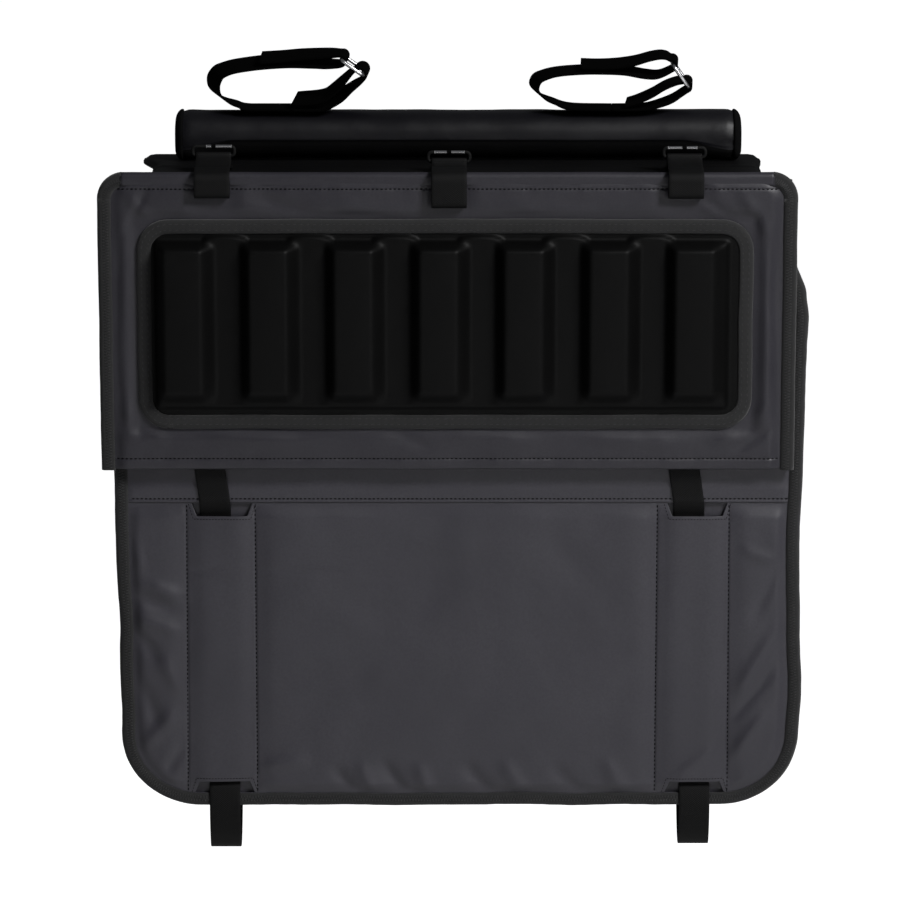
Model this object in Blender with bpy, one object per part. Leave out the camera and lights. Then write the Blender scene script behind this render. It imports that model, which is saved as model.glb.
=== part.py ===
"""Tailgate bike pad.

A half-width pad that hangs over the top edge of a pickup's tailgate, so that bikes can
lean on it. The origin is on the underside of the saddle, where it sits on the tailgate.
+X runs along the tailgate, -Y faces the road behind the truck, +Z is up. Metres.
"""
from math import cos, pi, sin, sqrt

import bmesh
import bpy
from mathutils import Vector

for old_object in list(bpy.data.objects):
    bpy.data.objects.remove(old_object, do_unlink=True)

# Clearance that touching pieces keep, and the number of steps in a rounded corner
GAP = 0.0003
CORNER_STEPS = 6

# Cloth, tape and webbing
CLOTH = 0.0012
TAPE = 0.0010
TAPE_WIDTH = 0.013
WEBBING = 0.0018
TIE_WIDTH = 0.032
ANCHOR_WIDTH = 0.036

# Saddle, the padded sheet on the tailgate's top edge
SADDLE_WIDTH = 0.640
SADDLE_DEPTH = 0.148
SADDLE_X = 0.0045
SADDLE_FOAM = 0.005

# Front flap
FLAP_WIDTH = 0.704
FLAP_TOP = 0.010
FLAP_BOTTOM = -0.292
FLAP_CORNER = 0.026
FLAP_FOAM = 0.005

# Lower outer panel
PANEL_WIDTH = 0.702
PANEL_X = 0.0125
PANEL_BOTTOM = -0.654
PANEL_CORNER = 0.080
PANEL_FOAM = 0.0088
PANEL_SETBACK = 0.005
YOKE_BOTTOM = -0.332
YOKE_LAP = 0.014
CHANNEL_SPACING = 0.488
GROOVE_WIDTH = 0.052
SLOT_OUTER = 0.062
SLOT_INNER = 0.052
SLOT_HEIGHT = 0.013
UPPER_SLOT_TOP = YOKE_BOTTOM - 0.001
LOWER_SLOT_BOTTOM = PANEL_BOTTOM + 0.0125

# Moulded bumper on the flap
BUMPER_MARGIN = 0.042
BUMPER_HEIGHT = 0.212
BUMPER_X = -0.0025
BUMPER_TOP = -0.0375
BUMPER_CORNER = 0.030
FLANGE = 0.003
PLINTH_HEIGHT = 0.006
PLINTH_INSET_TOP = 0.017
PLINTH_INSET_BOTTOM = 0.018
PLINTH_INSET_LEFT = 0.0155
PLINTH_INSET_RIGHT = 0.0225
PLINTH_DRAFT = 0.004
LAND_PITCH = 0.086
LAND_WIDTH = 0.040
LAND_TOP = -0.0642
LAND_BOTTOM = -0.2108
LAND_RISE = 0.016
LAND_DRAFT_LEFT = 0.009
LAND_DRAFT_RIGHT = 0.013
LAND_DRAFT_TOP = 0.007
LAND_DRAFT_BOTTOM = 0.015
LAND_CORNER = 0.009
LAND_EDGE = 0.004
LAND_X = -0.0093

# Bolster, the padded bar that the bikes' down tubes rest on
BOLSTER_LENGTH = 0.567
BOLSTER_X = 0.011
BOLSTER_DEPTH = 0.058
BOLSTER_HEIGHT = 0.0505
BOLSTER_UPPER_CORNER = 0.014
BOLSTER_LOWER_CORNER = 0.022
END_CAP_BULGE = 0.0085

# Frame straps on the bolster
STRAP = 0.0025
STRAP_WIDTH = 0.050
STRAP_YAW = 0.20
RING_WIRE = 0.004
RING_INNER = 0.052
RING_BARS = 0.027

# Anchor loops over the flap's top edge
ANCHOR_INSET = 0.1135
ANCHOR_X = 0.0015
ANCHOR_TAIL = 0.030
ANCHOR_FOLD = 0.0037
ANCHOR_RING_INNER = 0.0385
ANCHOR_RING_BARS = 0.0095
ANCHOR_RING_WIRE = 0.0036
ANCHOR_RING_SETBACK = 0.022
# For each anchor: its side, the height of its ring's lower bar, and of its folded end
ANCHORS = {"left": (-1, 0.0240, -0.0075), "centre": (0, 0.0180, -0.0175), "right": (1, 0.0225, -0.0080)}

# Inner flap, behind the tailgate
INNER_WIDTH = 0.600
INNER_THICKNESS = 0.003
INNER_BOTTOM = -0.250
INNER_CORNER = 0.050
INNER_SETBACK = 0.006

# Ladder-lock buckles at the inner flap's lower edge
BUCKLE_BAR = 0.005
BUCKLE_WINDOW = 0.008
BUCKLE_RAIL = 0.005
BUCKLE_DROP = 0.018
BUCKLE_CORNER = 0.003
BUCKLE_CLEARANCE = 0.001
HOLDER_SEAM = 0.036
TIE_SEAM = 0.030
TIE_TAIL = 0.090
TIE_LOOP = 0.049
# For each tie: how far it lies off its channel's middle at the flap's hem and at the upper
# slot, and by how much its hanging loop is shorter than TIE_LOOP
TIE_LEANS = {"left": (-0.0122, -0.0070, 0.0), "right": (-0.0150, -0.0090, 0.0035)}

# Levels worked out from the sizes above: Y runs back from the flap's face
SADDLE_FRONT = -SADDLE_DEPTH / 2
SADDLE_BACK = SADDLE_DEPTH / 2
SADDLE_TOP = 2 * CLOTH + SADDLE_FOAM + 2 * GAP
FLAP_BACK = SADDLE_FRONT - 2 * GAP - TAPE
FLAP_FRONT = FLAP_BACK - 2 * CLOTH - FLAP_FOAM - 2 * GAP
PANEL_FRONT = SADDLE_FRONT + PANEL_SETBACK
PANEL_BACK = PANEL_FRONT + 2 * CLOTH + PANEL_FOAM + 2 * GAP
INNER_FRONT = SADDLE_BACK - INNER_SETBACK
INNER_BACK = INNER_FRONT + INNER_THICKNESS
FLANGE_BACK = FLAP_FRONT - GAP
FLANGE_FRONT = FLANGE_BACK - FLANGE
BOLSTER_BACK = SADDLE_BACK
BOLSTER_FRONT = BOLSTER_BACK - BOLSTER_DEPTH
BOLSTER_BASE = SADDLE_TOP + GAP
BOLSTER_TOP = BOLSTER_BASE + BOLSTER_HEIGHT
BOLSTER_MIDDLE = (BOLSTER_FRONT + BOLSTER_BACK) / 2
BUMPER_WIDTH = FLAP_WIDTH - 2 * BUMPER_MARGIN
ANCHOR_SPACING = FLAP_WIDTH / 2 - ANCHOR_INSET


def finish(name, colour, roughness, metallic=0.0):
    """One Principled material."""
    material = bpy.data.materials.new(name)
    material.use_nodes = True
    shader = material.node_tree.nodes["Principled BSDF"]
    shader.inputs["Base Color"].default_value = (*colour, 1.0)
    shader.inputs["Roughness"].default_value = roughness
    shader.inputs["Metallic"].default_value = metallic
    material.diffuse_color = (*colour, 1.0)
    return material


TARPAULIN = finish("tarpaulin", (0.040, 0.041, 0.047), 0.55)
LINING = finish("lining", (0.016, 0.016, 0.018), 0.85)
FOAM = finish("foam", (0.055, 0.055, 0.055), 0.95)
EVA = finish("eva", (0.006, 0.006, 0.006), 0.70)
BINDING = finish("binding", (0.018, 0.018, 0.019), 0.80)
BLACK_WEBBING = finish("webbing", (0.008, 0.008, 0.008), 0.80)
STEEL = finish("steel", (0.62, 0.62, 0.64), 0.22, 1.0)
ACETAL = finish("acetal", (0.012, 0.012, 0.012), 0.40)


def solid(name, points, faces, material):
    """A closed body from its corners and faces, with the faces turned to point out."""
    mesh = bpy.data.meshes.new(name)
    shape = bmesh.new()
    corners = [shape.verts.new(point) for point in points]
    for face in faces:
        shape.faces.new([corners[index] for index in face])
    bmesh.ops.recalc_face_normals(shape, faces=shape.faces)
    shape.to_mesh(mesh)
    shape.free()
    mesh.shade_smooth()
    mesh.set_sharp_from_angle(angle=0.6)
    mesh.materials.append(material)
    piece = bpy.data.objects.new(name, mesh)
    bpy.context.scene.collection.objects.link(piece)
    return piece


def skin(name, rings, material, closed=False):
    """Join rings of corners one after another: into a closed loop, or with a cap at each end."""
    count = len(rings[0])
    points = [point for ring in rings for point in ring]
    faces = []
    for ring in range(len(rings) if closed else len(rings) - 1):
        here = ring * count
        there = (ring + 1) % len(rings) * count
        for step in range(count):
            turn = (step + 1) % count
            faces.append((here + step, here + turn, there + turn, there + step))
    if not closed:
        faces.append(tuple(range(count)))
        faces.append(tuple(range(len(points) - count, len(points))))
    return solid(name, points, faces, material)


def quarter(centre_u, centre_v, radius, start):
    """A rounded corner: the quarter turn that starts at the given angle."""
    turns = [start + pi / 2 * step / CORNER_STEPS for step in range(CORNER_STEPS + 1)]
    return [(centre_u + radius * cos(turn), centre_v + radius * sin(turn)) for turn in turns]


def rounded(left, right, bottom, top, lower_corner, upper_corner):
    """An outline with rounded corners, anticlockwise. A corner of 0 is square."""
    outline = []
    for u, v, radius, start in (
        (left + lower_corner, bottom + lower_corner, lower_corner, pi),
        (right - lower_corner, bottom + lower_corner, lower_corner, 1.5 * pi),
        (right - upper_corner, top - upper_corner, upper_corner, 0.0),
        (left + upper_corner, top - upper_corner, upper_corner, 0.5 * pi),
    ):
        outline += quarter(u, v, radius, start) if radius else [(u, v)]
    return outline


def plate(name, outline, front, back, material):
    """A flat sheet in the XZ plane, from one Y to another."""
    rings = [[(x, level, z) for x, z in outline] for level in (front, back)]
    return skin(name, rings, material)


def slab(name, outline, low, high, material):
    """A flat sheet in the XY plane, from one Z to another."""
    rings = [[(x, y, level) for x, y in outline] for level in (low, high)]
    return skin(name, rings, material)


def cut(piece, name, outline, front, back):
    """Cut a hole of the given outline through a piece, along Y."""
    cutter = plate(name, outline, front, back, FOAM)
    cutter.hide_render = True
    cutter.display_type = "WIRE"
    hole = piece.modifiers.new(name, "BOOLEAN")
    hole.object = cutter
    hole.operation = "DIFFERENCE"
    hole.solver = "EXACT"


def bound_edge(name, edge, front, back, closed=False):
    """Binding tape folded round a panel's edge: a U section swept along the edge.

    edge gives the panel's outline at an inset, so that each line of the tape follows it.
    """
    section = (
        (-GAP - TAPE, front - GAP - TAPE),
        (TAPE_WIDTH, front - GAP - TAPE),
        (TAPE_WIDTH, front - GAP),
        (-GAP, front - GAP),
        (-GAP, back + GAP),
        (TAPE_WIDTH, back + GAP),
        (TAPE_WIDTH, back + GAP + TAPE),
        (-GAP - TAPE, back + GAP + TAPE),
    )
    lines = [[(x, level, z) for x, z in edge(inset)] for inset, level in section]
    return skin(name, list(zip(*lines)), BINDING, closed)


def hanging_edge(middle, width, top, bottom, corner):
    """The edge of a panel that hangs from its top: down one side, along and up the other."""
    def edge(inset):
        left = middle - width / 2 + inset
        right = middle + width / 2 - inset
        low = bottom + inset
        radius = corner - inset
        turn_left = quarter(left + radius, low + radius, radius, pi)
        turn_right = quarter(right - radius, low + radius, radius, 1.5 * pi)
        return [(left, top)] + turn_left + turn_right + [(right, top)]
    return edge


def smooth_route(stops, steps):
    """Points along a smooth curve through the given stops. It never loops where stops lie close."""
    stops = [Vector(stop) for stop in stops]
    ends = [2 * stops[0] - stops[1]] + stops + [2 * stops[-1] - stops[-2]]
    route = []
    for before, start, end, after in zip(ends, ends[1:], ends[2:], ends[3:]):
        arriving = sqrt((start - before).length)
        crossing = sqrt((end - start).length)
        leaving = sqrt((after - end).length)
        chord = end - start
        slope_in = chord + crossing * ((start - before) / arriving - (end - before) / (arriving + crossing))
        slope_out = chord + crossing * ((after - end) / leaving - (after - start) / (crossing + leaving))
        for step in range(steps):
            t = step / steps
            ahead = t * t * (3 - 2 * t) * chord
            swing = t * (1 - t) ** 2 * slope_in - t * t * (1 - t) * slope_out
            route.append(tuple(start + ahead + swing))
    return route + [tuple(stops[-1])]


def bend(centre, radius, start, sweep, steps=8):
    """Points round a bar: from one angle through a sweep, both in turns of pi."""
    turns = [pi * (start + sweep * step / steps) for step in range(steps + 1)]
    return [(centre[0] + radius * cos(turn), centre[1] + radius * sin(turn)) for turn in turns]


def band(name, route, width, thickness, across, material):
    """A flat strap along a route: its width lies along across, its thickness square to both."""
    rings = []
    half = across.normalized() * width / 2
    last = len(route) - 1
    for index, point in enumerate(route):
        arriving = (point - route[max(index - 1, 0)]).normalized()
        leaving = (route[min(index + 1, last)] - point).normalized()
        along = (arriving + leaving).normalized()
        face = along.cross(across).normalized()
        reference = leaving if index < last else arriving
        mitre = max(reference.normalized().dot(along), 0.5)
        rise = face * thickness / 2 / mitre
        rings.append([point + half + rise, point - half + rise, point - half - rise, point + half - rise])
    return skin(name, rings, material)


def wire_ring(name, centre, along, across, inner, bars, wire):
    """A welded rectangular ring of round wire: inner is its clear width between the short sides."""
    radius = wire / 2
    corner = radius * 1.6
    half_long = inner / 2 + radius
    half_short = bars / 2
    outline = rounded(-half_long, half_long, -half_short, half_short, corner, corner)
    normal = along.cross(across).normalized()
    rings = []
    for index, (u, v) in enumerate(outline):
        before = Vector(outline[index - 1])
        after = Vector(outline[(index + 1) % len(outline)])
        tangent = (after - before).normalized()
        outward = along * tangent.y - across * tangent.x
        middle = centre + along * u + across * v
        turns = [2 * pi * step / 8 for step in range(8)]
        rings.append([middle + (outward * cos(turn) + normal * sin(turn)) * radius for turn in turns])
    return skin(name, rings, STEEL, closed=True)


# Saddle: underside cloth, foam sheet and top cloth. The underside cloth ends at the tapes of
# the outer panel and the inner flap, which hang from the saddle's front and back edges.
saddle_left = SADDLE_X - SADDLE_WIDTH / 2
saddle_right = SADDLE_X + SADDLE_WIDTH / 2
saddle_outline = rounded(saddle_left, saddle_right, SADDLE_FRONT, SADDLE_BACK, 0, 0)
foam_base = CLOTH + GAP
foam_top = foam_base + SADDLE_FOAM
lining_outline = rounded(
    saddle_left, saddle_right, PANEL_BACK + TAPE + 2 * GAP, INNER_FRONT - TAPE - 2 * GAP, 0, 0)
slab("saddle_lining", lining_outline, 0, CLOTH, LINING)
slab("saddle_foam", saddle_outline, foam_base, foam_top, FOAM)
slab("saddle_top", saddle_outline, foam_top + GAP, SADDLE_TOP, TARPAULIN)

# Front flap: face cloth, foam sheet and lining, with tape round its sides and top
flap_outline = rounded(-FLAP_WIDTH / 2, FLAP_WIDTH / 2, FLAP_BOTTOM, FLAP_TOP, 0, FLAP_CORNER)
flap_foam_front = FLAP_FRONT + CLOTH + GAP
plate("flap_face", flap_outline, FLAP_FRONT, FLAP_FRONT + CLOTH, TARPAULIN)
plate("flap_foam", flap_outline, flap_foam_front, flap_foam_front + FLAP_FOAM, FOAM)
plate("flap_lining", flap_outline, FLAP_BACK - CLOTH, FLAP_BACK, LINING)


def flap_edge(inset):
    """Up the left side of the flap, over its top and down the right side."""
    left = -FLAP_WIDTH / 2 + inset
    top = FLAP_TOP - inset
    radius = FLAP_CORNER - inset
    turn_right = quarter(-left - radius, top - radius, radius, 0.0)
    turn_left = quarter(left + radius, top - radius, radius, 0.5 * pi)
    return [(-left, FLAP_BOTTOM)] + turn_right + turn_left + [(left, FLAP_BOTTOM)]


bound_edge("flap_binding", flap_edge, FLAP_FRONT, FLAP_BACK)

# Moulded bumper: a thin sewing flange, a low plinth and seven drafted lands, in one piece
bumper_left = BUMPER_X - BUMPER_WIDTH / 2
bumper_right = BUMPER_X + BUMPER_WIDTH / 2
bumper_bottom = BUMPER_TOP - BUMPER_HEIGHT
plinth_front = FLANGE_FRONT - PLINTH_HEIGHT


def bumper_edge(inset):
    """The flange's outline at an inset."""
    radius = BUMPER_CORNER - inset
    return rounded(
        bumper_left + inset, bumper_right - inset, bumper_bottom + inset, BUMPER_TOP - inset, radius, radius)


def plinth_ring(inset, level):
    """The plinth's outline at an inset, on one Y level."""
    radius = LAND_CORNER + PLINTH_DRAFT - inset
    outline = rounded(
        bumper_left + PLINTH_INSET_LEFT + inset, bumper_right - PLINTH_INSET_RIGHT - inset,
        bumper_bottom + PLINTH_INSET_BOTTOM + inset, BUMPER_TOP - PLINTH_INSET_TOP - inset, radius, radius)
    return [(x, level, z) for x, z in outline]


def land_ring(middle, spread, level):
    """A land's outline: spread 1 at its foot, 0 where its crowned face begins, below 0 on the crown."""
    draft = max(spread, 0)
    crown = -min(spread, 0) * LAND_EDGE
    outline = rounded(
        middle - LAND_WIDTH / 2 - LAND_DRAFT_LEFT * draft + crown,
        middle + LAND_WIDTH / 2 + LAND_DRAFT_RIGHT * draft - crown,
        LAND_BOTTOM - LAND_DRAFT_BOTTOM * draft + crown,
        LAND_TOP + LAND_DRAFT_TOP * draft - crown,
        LAND_CORNER - crown, LAND_CORNER - crown)
    return [(x, level, z) for x, z in outline]


def join(piece, other):
    """Join two overlapping bodies into one by a union."""
    joint = piece.modifiers.new(other.name, "BOOLEAN")
    joint.object = other
    joint.operation = "UNION"
    joint.solver = "EXACT"
    other.hide_render = True
    other.display_type = "WIRE"


moulding = plate("bumper_moulding", bumper_edge(0), FLANGE_FRONT, FLANGE_BACK, EVA)
flange_middle = (FLANGE_FRONT + FLANGE_BACK) / 2
plinth = skin("plinth_guide", [
    plinth_ring(0, flange_middle),
    plinth_ring(0, FLANGE_FRONT - PLINTH_HEIGHT * 0.2),
    plinth_ring(PLINTH_DRAFT, plinth_front),
], EVA)
join(moulding, plinth)
land_foot = LAND_WIDTH + LAND_DRAFT_LEFT + LAND_DRAFT_RIGHT
land_room = BUMPER_WIDTH - PLINTH_INSET_LEFT - PLINTH_INSET_RIGHT - land_foot
land_count = int(land_room / LAND_PITCH) + 1
for number in range(land_count):
    land_middle = LAND_X + (number - (land_count - 1) / 2) * LAND_PITCH
    land = skin(f"land_guide_{number + 1}", [
        land_ring(land_middle, 1.0, plinth_front + PLINTH_HEIGHT / 2),
        land_ring(land_middle, 1.0, plinth_front),
        land_ring(land_middle, 0.62, plinth_front - LAND_RISE * 0.30),
        land_ring(land_middle, 0.25, plinth_front - LAND_RISE * 0.68),
        land_ring(land_middle, 0.0, plinth_front - LAND_RISE * 0.90),
        land_ring(land_middle, -1.0, plinth_front - LAND_RISE),
    ], EVA)
    join(moulding, land)

tape_section = (
    (-GAP - TAPE, FLANGE_BACK),
    (-GAP - TAPE, FLANGE_FRONT - GAP - TAPE),
    (TAPE_WIDTH, FLANGE_FRONT - GAP - TAPE),
    (TAPE_WIDTH, FLANGE_FRONT - GAP),
    (-GAP, FLANGE_FRONT - GAP),
    (-GAP, FLANGE_BACK),
)
tape_lines = [[(x, level, z) for x, z in bumper_edge(inset)] for inset, level in tape_section]
skin("bumper_binding", list(zip(*tape_lines)), BINDING, closed=True)

# Lower outer panel: yoke, face cloth with the channels' slots, foam sheet, lining and tape
panel_left = PANEL_X - PANEL_WIDTH / 2
panel_right = PANEL_X + PANEL_WIDTH / 2
panel_top = CLOTH
face_top = YOKE_BOTTOM + YOKE_LAP
face_outline = rounded(panel_left, panel_right, PANEL_BOTTOM, face_top - GAP, PANEL_CORNER, 0)
panel_outline = rounded(panel_left, panel_right, PANEL_BOTTOM, panel_top, PANEL_CORNER, 0)
panel_foam_front = PANEL_FRONT + CLOTH + GAP
face = plate("outer_panel_face", face_outline, PANEL_FRONT, PANEL_FRONT + CLOTH, TARPAULIN)
foam = plate("outer_panel_foam", panel_outline, panel_foam_front, panel_foam_front + PANEL_FOAM, FOAM)
plate("outer_panel_lining", panel_outline, PANEL_BACK - CLOTH, PANEL_BACK, LINING)
channel_middles = {
    "left": PANEL_X - CHANNEL_SPACING / 2,
    "right": PANEL_X + CHANNEL_SPACING / 2,
}
groove_depth = WEBBING + 2 * GAP
lower_slot_top = LOWER_SLOT_BOTTOM + SLOT_HEIGHT
upper_slot_bottom = UPPER_SLOT_TOP - SLOT_HEIGHT
for side, middle in channel_middles.items():
    wide = SLOT_OUTER / 2
    narrow = SLOT_INNER / 2
    upper_slot = [
        (middle - narrow, upper_slot_bottom), (middle + narrow, upper_slot_bottom),
        (middle + wide, UPPER_SLOT_TOP), (middle - wide, UPPER_SLOT_TOP)]
    lower_slot = [
        (middle - wide, LOWER_SLOT_BOTTOM), (middle + wide, LOWER_SLOT_BOTTOM),
        (middle + narrow, lower_slot_top), (middle - narrow, lower_slot_top)]
    groove = rounded(
        middle - GROOVE_WIDTH / 2, middle + GROOVE_WIDTH / 2,
        LOWER_SLOT_BOTTOM, UPPER_SLOT_TOP, 0, 0)
    cut(face, f"upper_slot_{side}", upper_slot, PANEL_FRONT - CLOTH, PANEL_FRONT + 2 * CLOTH)
    cut(face, f"lower_slot_{side}", lower_slot, PANEL_FRONT - CLOTH, PANEL_FRONT + 2 * CLOTH)
    cut(foam, f"groove_{side}", groove, panel_foam_front - CLOTH, panel_foam_front + groove_depth)

lap_back = PANEL_FRONT - GAP
lap_front = lap_back - CLOTH
lap_inset = TAPE_WIDTH + GAP
yoke_left = panel_left + lap_inset
yoke_right = panel_right - lap_inset
yoke = plate("outer_panel_yoke", rounded(panel_left, panel_right, face_top, panel_top, 0, 0),
             PANEL_FRONT, PANEL_FRONT + CLOTH, TARPAULIN)
lap = skin("lap_guide", [
    [(x, PANEL_FRONT + CLOTH * 0.7, face_top + CLOTH * 3), (x, lap_front, face_top + CLOTH),
     (x, lap_front, YOKE_BOTTOM), (x, lap_back, YOKE_BOTTOM),
     (x, lap_back, face_top), (x, PANEL_FRONT + CLOTH * 0.7, face_top + CLOTH * 0.5)]
    for x in (yoke_left, yoke_right)], TARPAULIN)
join(yoke, lap)
bound_edge(
    "outer_panel_binding", hanging_edge(PANEL_X, PANEL_WIDTH, panel_top, PANEL_BOTTOM, PANEL_CORNER),
    PANEL_FRONT, PANEL_BACK)


# Bolster: a sewn tube of coated cloth over a foam core, with a domed cap at each end
def bolster_ring(x, inset):
    """The bolster's section at an inset, on one X: it is rounder below, where it is pulled in."""
    outline = rounded(
        BOLSTER_FRONT + inset, BOLSTER_BACK - inset, BOLSTER_BASE + inset, BOLSTER_TOP - inset,
        BOLSTER_LOWER_CORNER - inset, BOLSTER_UPPER_CORNER - inset)
    return [(x, y, z) for y, z in outline]


bolster_left = BOLSTER_X - BOLSTER_LENGTH / 2
bolster_right = BOLSTER_X + BOLSTER_LENGTH / 2
skin("bolster_cover", [
    bolster_ring(bolster_left, 0), bolster_ring(bolster_right, 0),
    bolster_ring(bolster_right, CLOTH), bolster_ring(bolster_left, CLOTH)], TARPAULIN, closed=True)
skin("bolster_foam", [
    bolster_ring(bolster_left, CLOTH + GAP), bolster_ring(bolster_right, CLOTH + GAP)], FOAM)
for side, end, outward in (("left", bolster_left, -1), ("right", bolster_right, 1)):
    dome = ((0.0, 0.0), (0.35, 0.0006), (0.70, 0.0030), (0.92, 0.0075), (1.0, 0.0130))
    skin(f"bolster_end_{side}", [
        bolster_ring(end + outward * (GAP + share * END_CAP_BULGE), inset) for share, inset in dome], TARPAULIN)

# Frame straps: each long strap is sewn along the bolster, rises into a loop, goes through the
# steel ring and folds back on itself; a short tab holds the ring. Routes are (x, z) stops.
strap_floor = BOLSTER_TOP + GAP + STRAP / 2
wrap = RING_WIRE / 2 + 4 * GAP + STRAP / 2
strap_across = Vector((STRAP_YAW, 1.0, 0.0))
FRAME_STRAPS = {
    "left": {
        "upper_bar": (-0.1090, 0.1105),
        "lower_bar": (-0.0870, 0.0950),
        "rising": [
            (-0.178, strap_floor), (-0.206, strap_floor), (-0.228, 0.0705), (-0.2395, 0.0815),
            (-0.2410, 0.0925), (-0.2310, 0.1005), (-0.2130, 0.1055), (-0.1900, 0.1095),
            (-0.1520, 0.1125), (-0.1240, 0.1085)],
        "folding": [(-0.1240, 0.1140), (-0.1520, 0.1165), (-0.1780, 0.1145), (-0.1970, 0.1125)],
        "upper_bend": (-0.42, 0.98),
        "tab_out": [(-0.1600, strap_floor), (-0.1250, strap_floor), (-0.1070, 0.0740), (-0.0925, 0.0870)],
        "tab_back": [(-0.1020, 0.0925), (-0.1120, 0.0805), (-0.1300, 0.0715), (-0.1580, 0.0670)],
        "lower_bend": (-0.28, 1.10),
    },
    "right": {
        "upper_bar": (0.2316, 0.1070),
        "lower_bar": (0.2470, 0.0847),
        "rising": [
            (0.142, strap_floor), (0.114, strap_floor), (0.0970, 0.0705), (0.0920, 0.0810),
            (0.0960, 0.0910), (0.1060, 0.0970), (0.1290, 0.1000), (0.1560, 0.1005),
            (0.1880, 0.1025), (0.2060, 0.0985), (0.2220, 0.0975)],
        "folding": [(0.2230, 0.1165), (0.2050, 0.1120), (0.1880, 0.1070), (0.1560, 0.1045), (0.1380, 0.1050)],
        "upper_bend": (-0.45, 0.95),
        "tab_out": [(0.1560, strap_floor), (0.1960, strap_floor), (0.2240, 0.0655), (0.2470, 0.0750)],
        "tab_back": [(0.2300, 0.0870), (0.2120, 0.0800), (0.1960, 0.0700), (0.1780, 0.0655)],
        "lower_bend": (-0.40, 1.05),
    },
}


def strap_points(route):
    """An (x, z) route over the bolster's middle, which never dips into the bolster."""
    return [Vector((x, BOLSTER_MIDDLE, max(z, strap_floor))) for x, z in route]


for side, strap in FRAME_STRAPS.items():
    upper = bend(strap["upper_bar"], wrap, *strap["upper_bend"])
    lower = bend(strap["lower_bar"], wrap, *strap["lower_bend"])
    long_route = smooth_route(strap["rising"] + upper + strap["folding"], 3)
    tab_route = smooth_route(strap["tab_out"] + lower + strap["tab_back"], 3)
    band(f"frame_strap_{side}", strap_points(long_route), STRAP_WIDTH, STRAP, strap_across, BLACK_WEBBING)
    band(f"frame_strap_tab_{side}", strap_points(tab_route), STRAP_WIDTH, STRAP, strap_across, BLACK_WEBBING)
    (high_x, high_z), (low_x, low_z) = strap["upper_bar"], strap["lower_bar"]
    ring_middle = Vector(((high_x + low_x) / 2, BOLSTER_MIDDLE, (high_z + low_z) / 2))
    short_side = Vector((low_x - high_x, 0.0, low_z - high_z)).normalized()
    wire_ring(
        f"frame_strap_ring_{side}", ring_middle, strap_across.normalized(), short_side,
        RING_INNER, RING_BARS, RING_WIRE)

# Anchor loops: webbing sewn to the saddle, over a steel ring's lower bar, over the flap's top
# edge and down its face, where it turns under. Routes are (y, z).
anchor_lift = WEBBING / 2 + GAP
tape_front = FLAP_FRONT - GAP - TAPE
tape_top = FLAP_TOP + GAP + TAPE
ring_wrap = ANCHOR_RING_WIRE / 2 + GAP + WEBBING / 2
ring_y = SADDLE_FRONT + ANCHOR_RING_SETBACK
inner_y = tape_front - anchor_lift
outer_y = inner_y - 2 * ANCHOR_FOLD
for place, (anchor_side, bar_z, fold_z) in ANCHORS.items():
    anchor_x = ANCHOR_X + anchor_side * ANCHOR_SPACING
    route = [
        (ring_y + ANCHOR_TAIL, SADDLE_TOP + anchor_lift),
        (ring_y + ANCHOR_TAIL * 0.4, SADDLE_TOP + anchor_lift + GAP),
        (ring_y + ANCHOR_TAIL * 0.17, SADDLE_TOP + ANCHOR_TAIL * 0.13),
    ]
    route += bend((ring_y, bar_z), ring_wrap, 0.05, 0.95, 6)
    route += [
        (ring_y - ANCHOR_TAIL / 3, bar_z - ANCHOR_TAIL * 0.15),
        (FLAP_BACK + WEBBING, tape_top + WEBBING * 2),
        (FLAP_FRONT + WEBBING / 2, tape_top + WEBBING * 1.7),
        (outer_y + WEBBING * 1.7, tape_top - WEBBING * 0.3),
        (outer_y, tape_top - WEBBING * 3.3),
        (outer_y, (tape_top + fold_z) / 2),
    ]
    route += bend((inner_y - ANCHOR_FOLD, fold_z), ANCHOR_FOLD, 1.0, 1.0, 8)
    route += [(inner_y, fold_z + ANCHOR_FOLD * 1.6), (inner_y, fold_z + ANCHOR_FOLD * 3.2)]
    points = [Vector((anchor_x, y, z)) for y, z in smooth_route(route, 2)]
    band(f"anchor_webbing_{place}", points, ANCHOR_WIDTH, WEBBING, Vector((1, 0, 0)), BLACK_WEBBING)
    ring_middle = Vector((anchor_x, ring_y, bar_z + ANCHOR_RING_BARS / 2))
    wire_ring(
        f"anchor_ring_{place}", ring_middle, Vector((1, 0, 0)), Vector((0, 0, 1)),
        ANCHOR_RING_INNER, ANCHOR_RING_BARS, ANCHOR_RING_WIRE)

# Inner flap: one padded sheet that hangs behind the tailgate, with tape round its free edge
inner_outline = rounded(
    SADDLE_X - INNER_WIDTH / 2, SADDLE_X + INNER_WIDTH / 2, INNER_BOTTOM, panel_top, INNER_CORNER, 0)
plate("inner_flap", inner_outline, INNER_FRONT, INNER_BACK, LINING)
bound_edge(
    "inner_flap_binding", hanging_edge(SADDLE_X, INNER_WIDTH, panel_top, INNER_BOTTOM, INNER_CORNER),
    INNER_FRONT, INNER_BACK)

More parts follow.
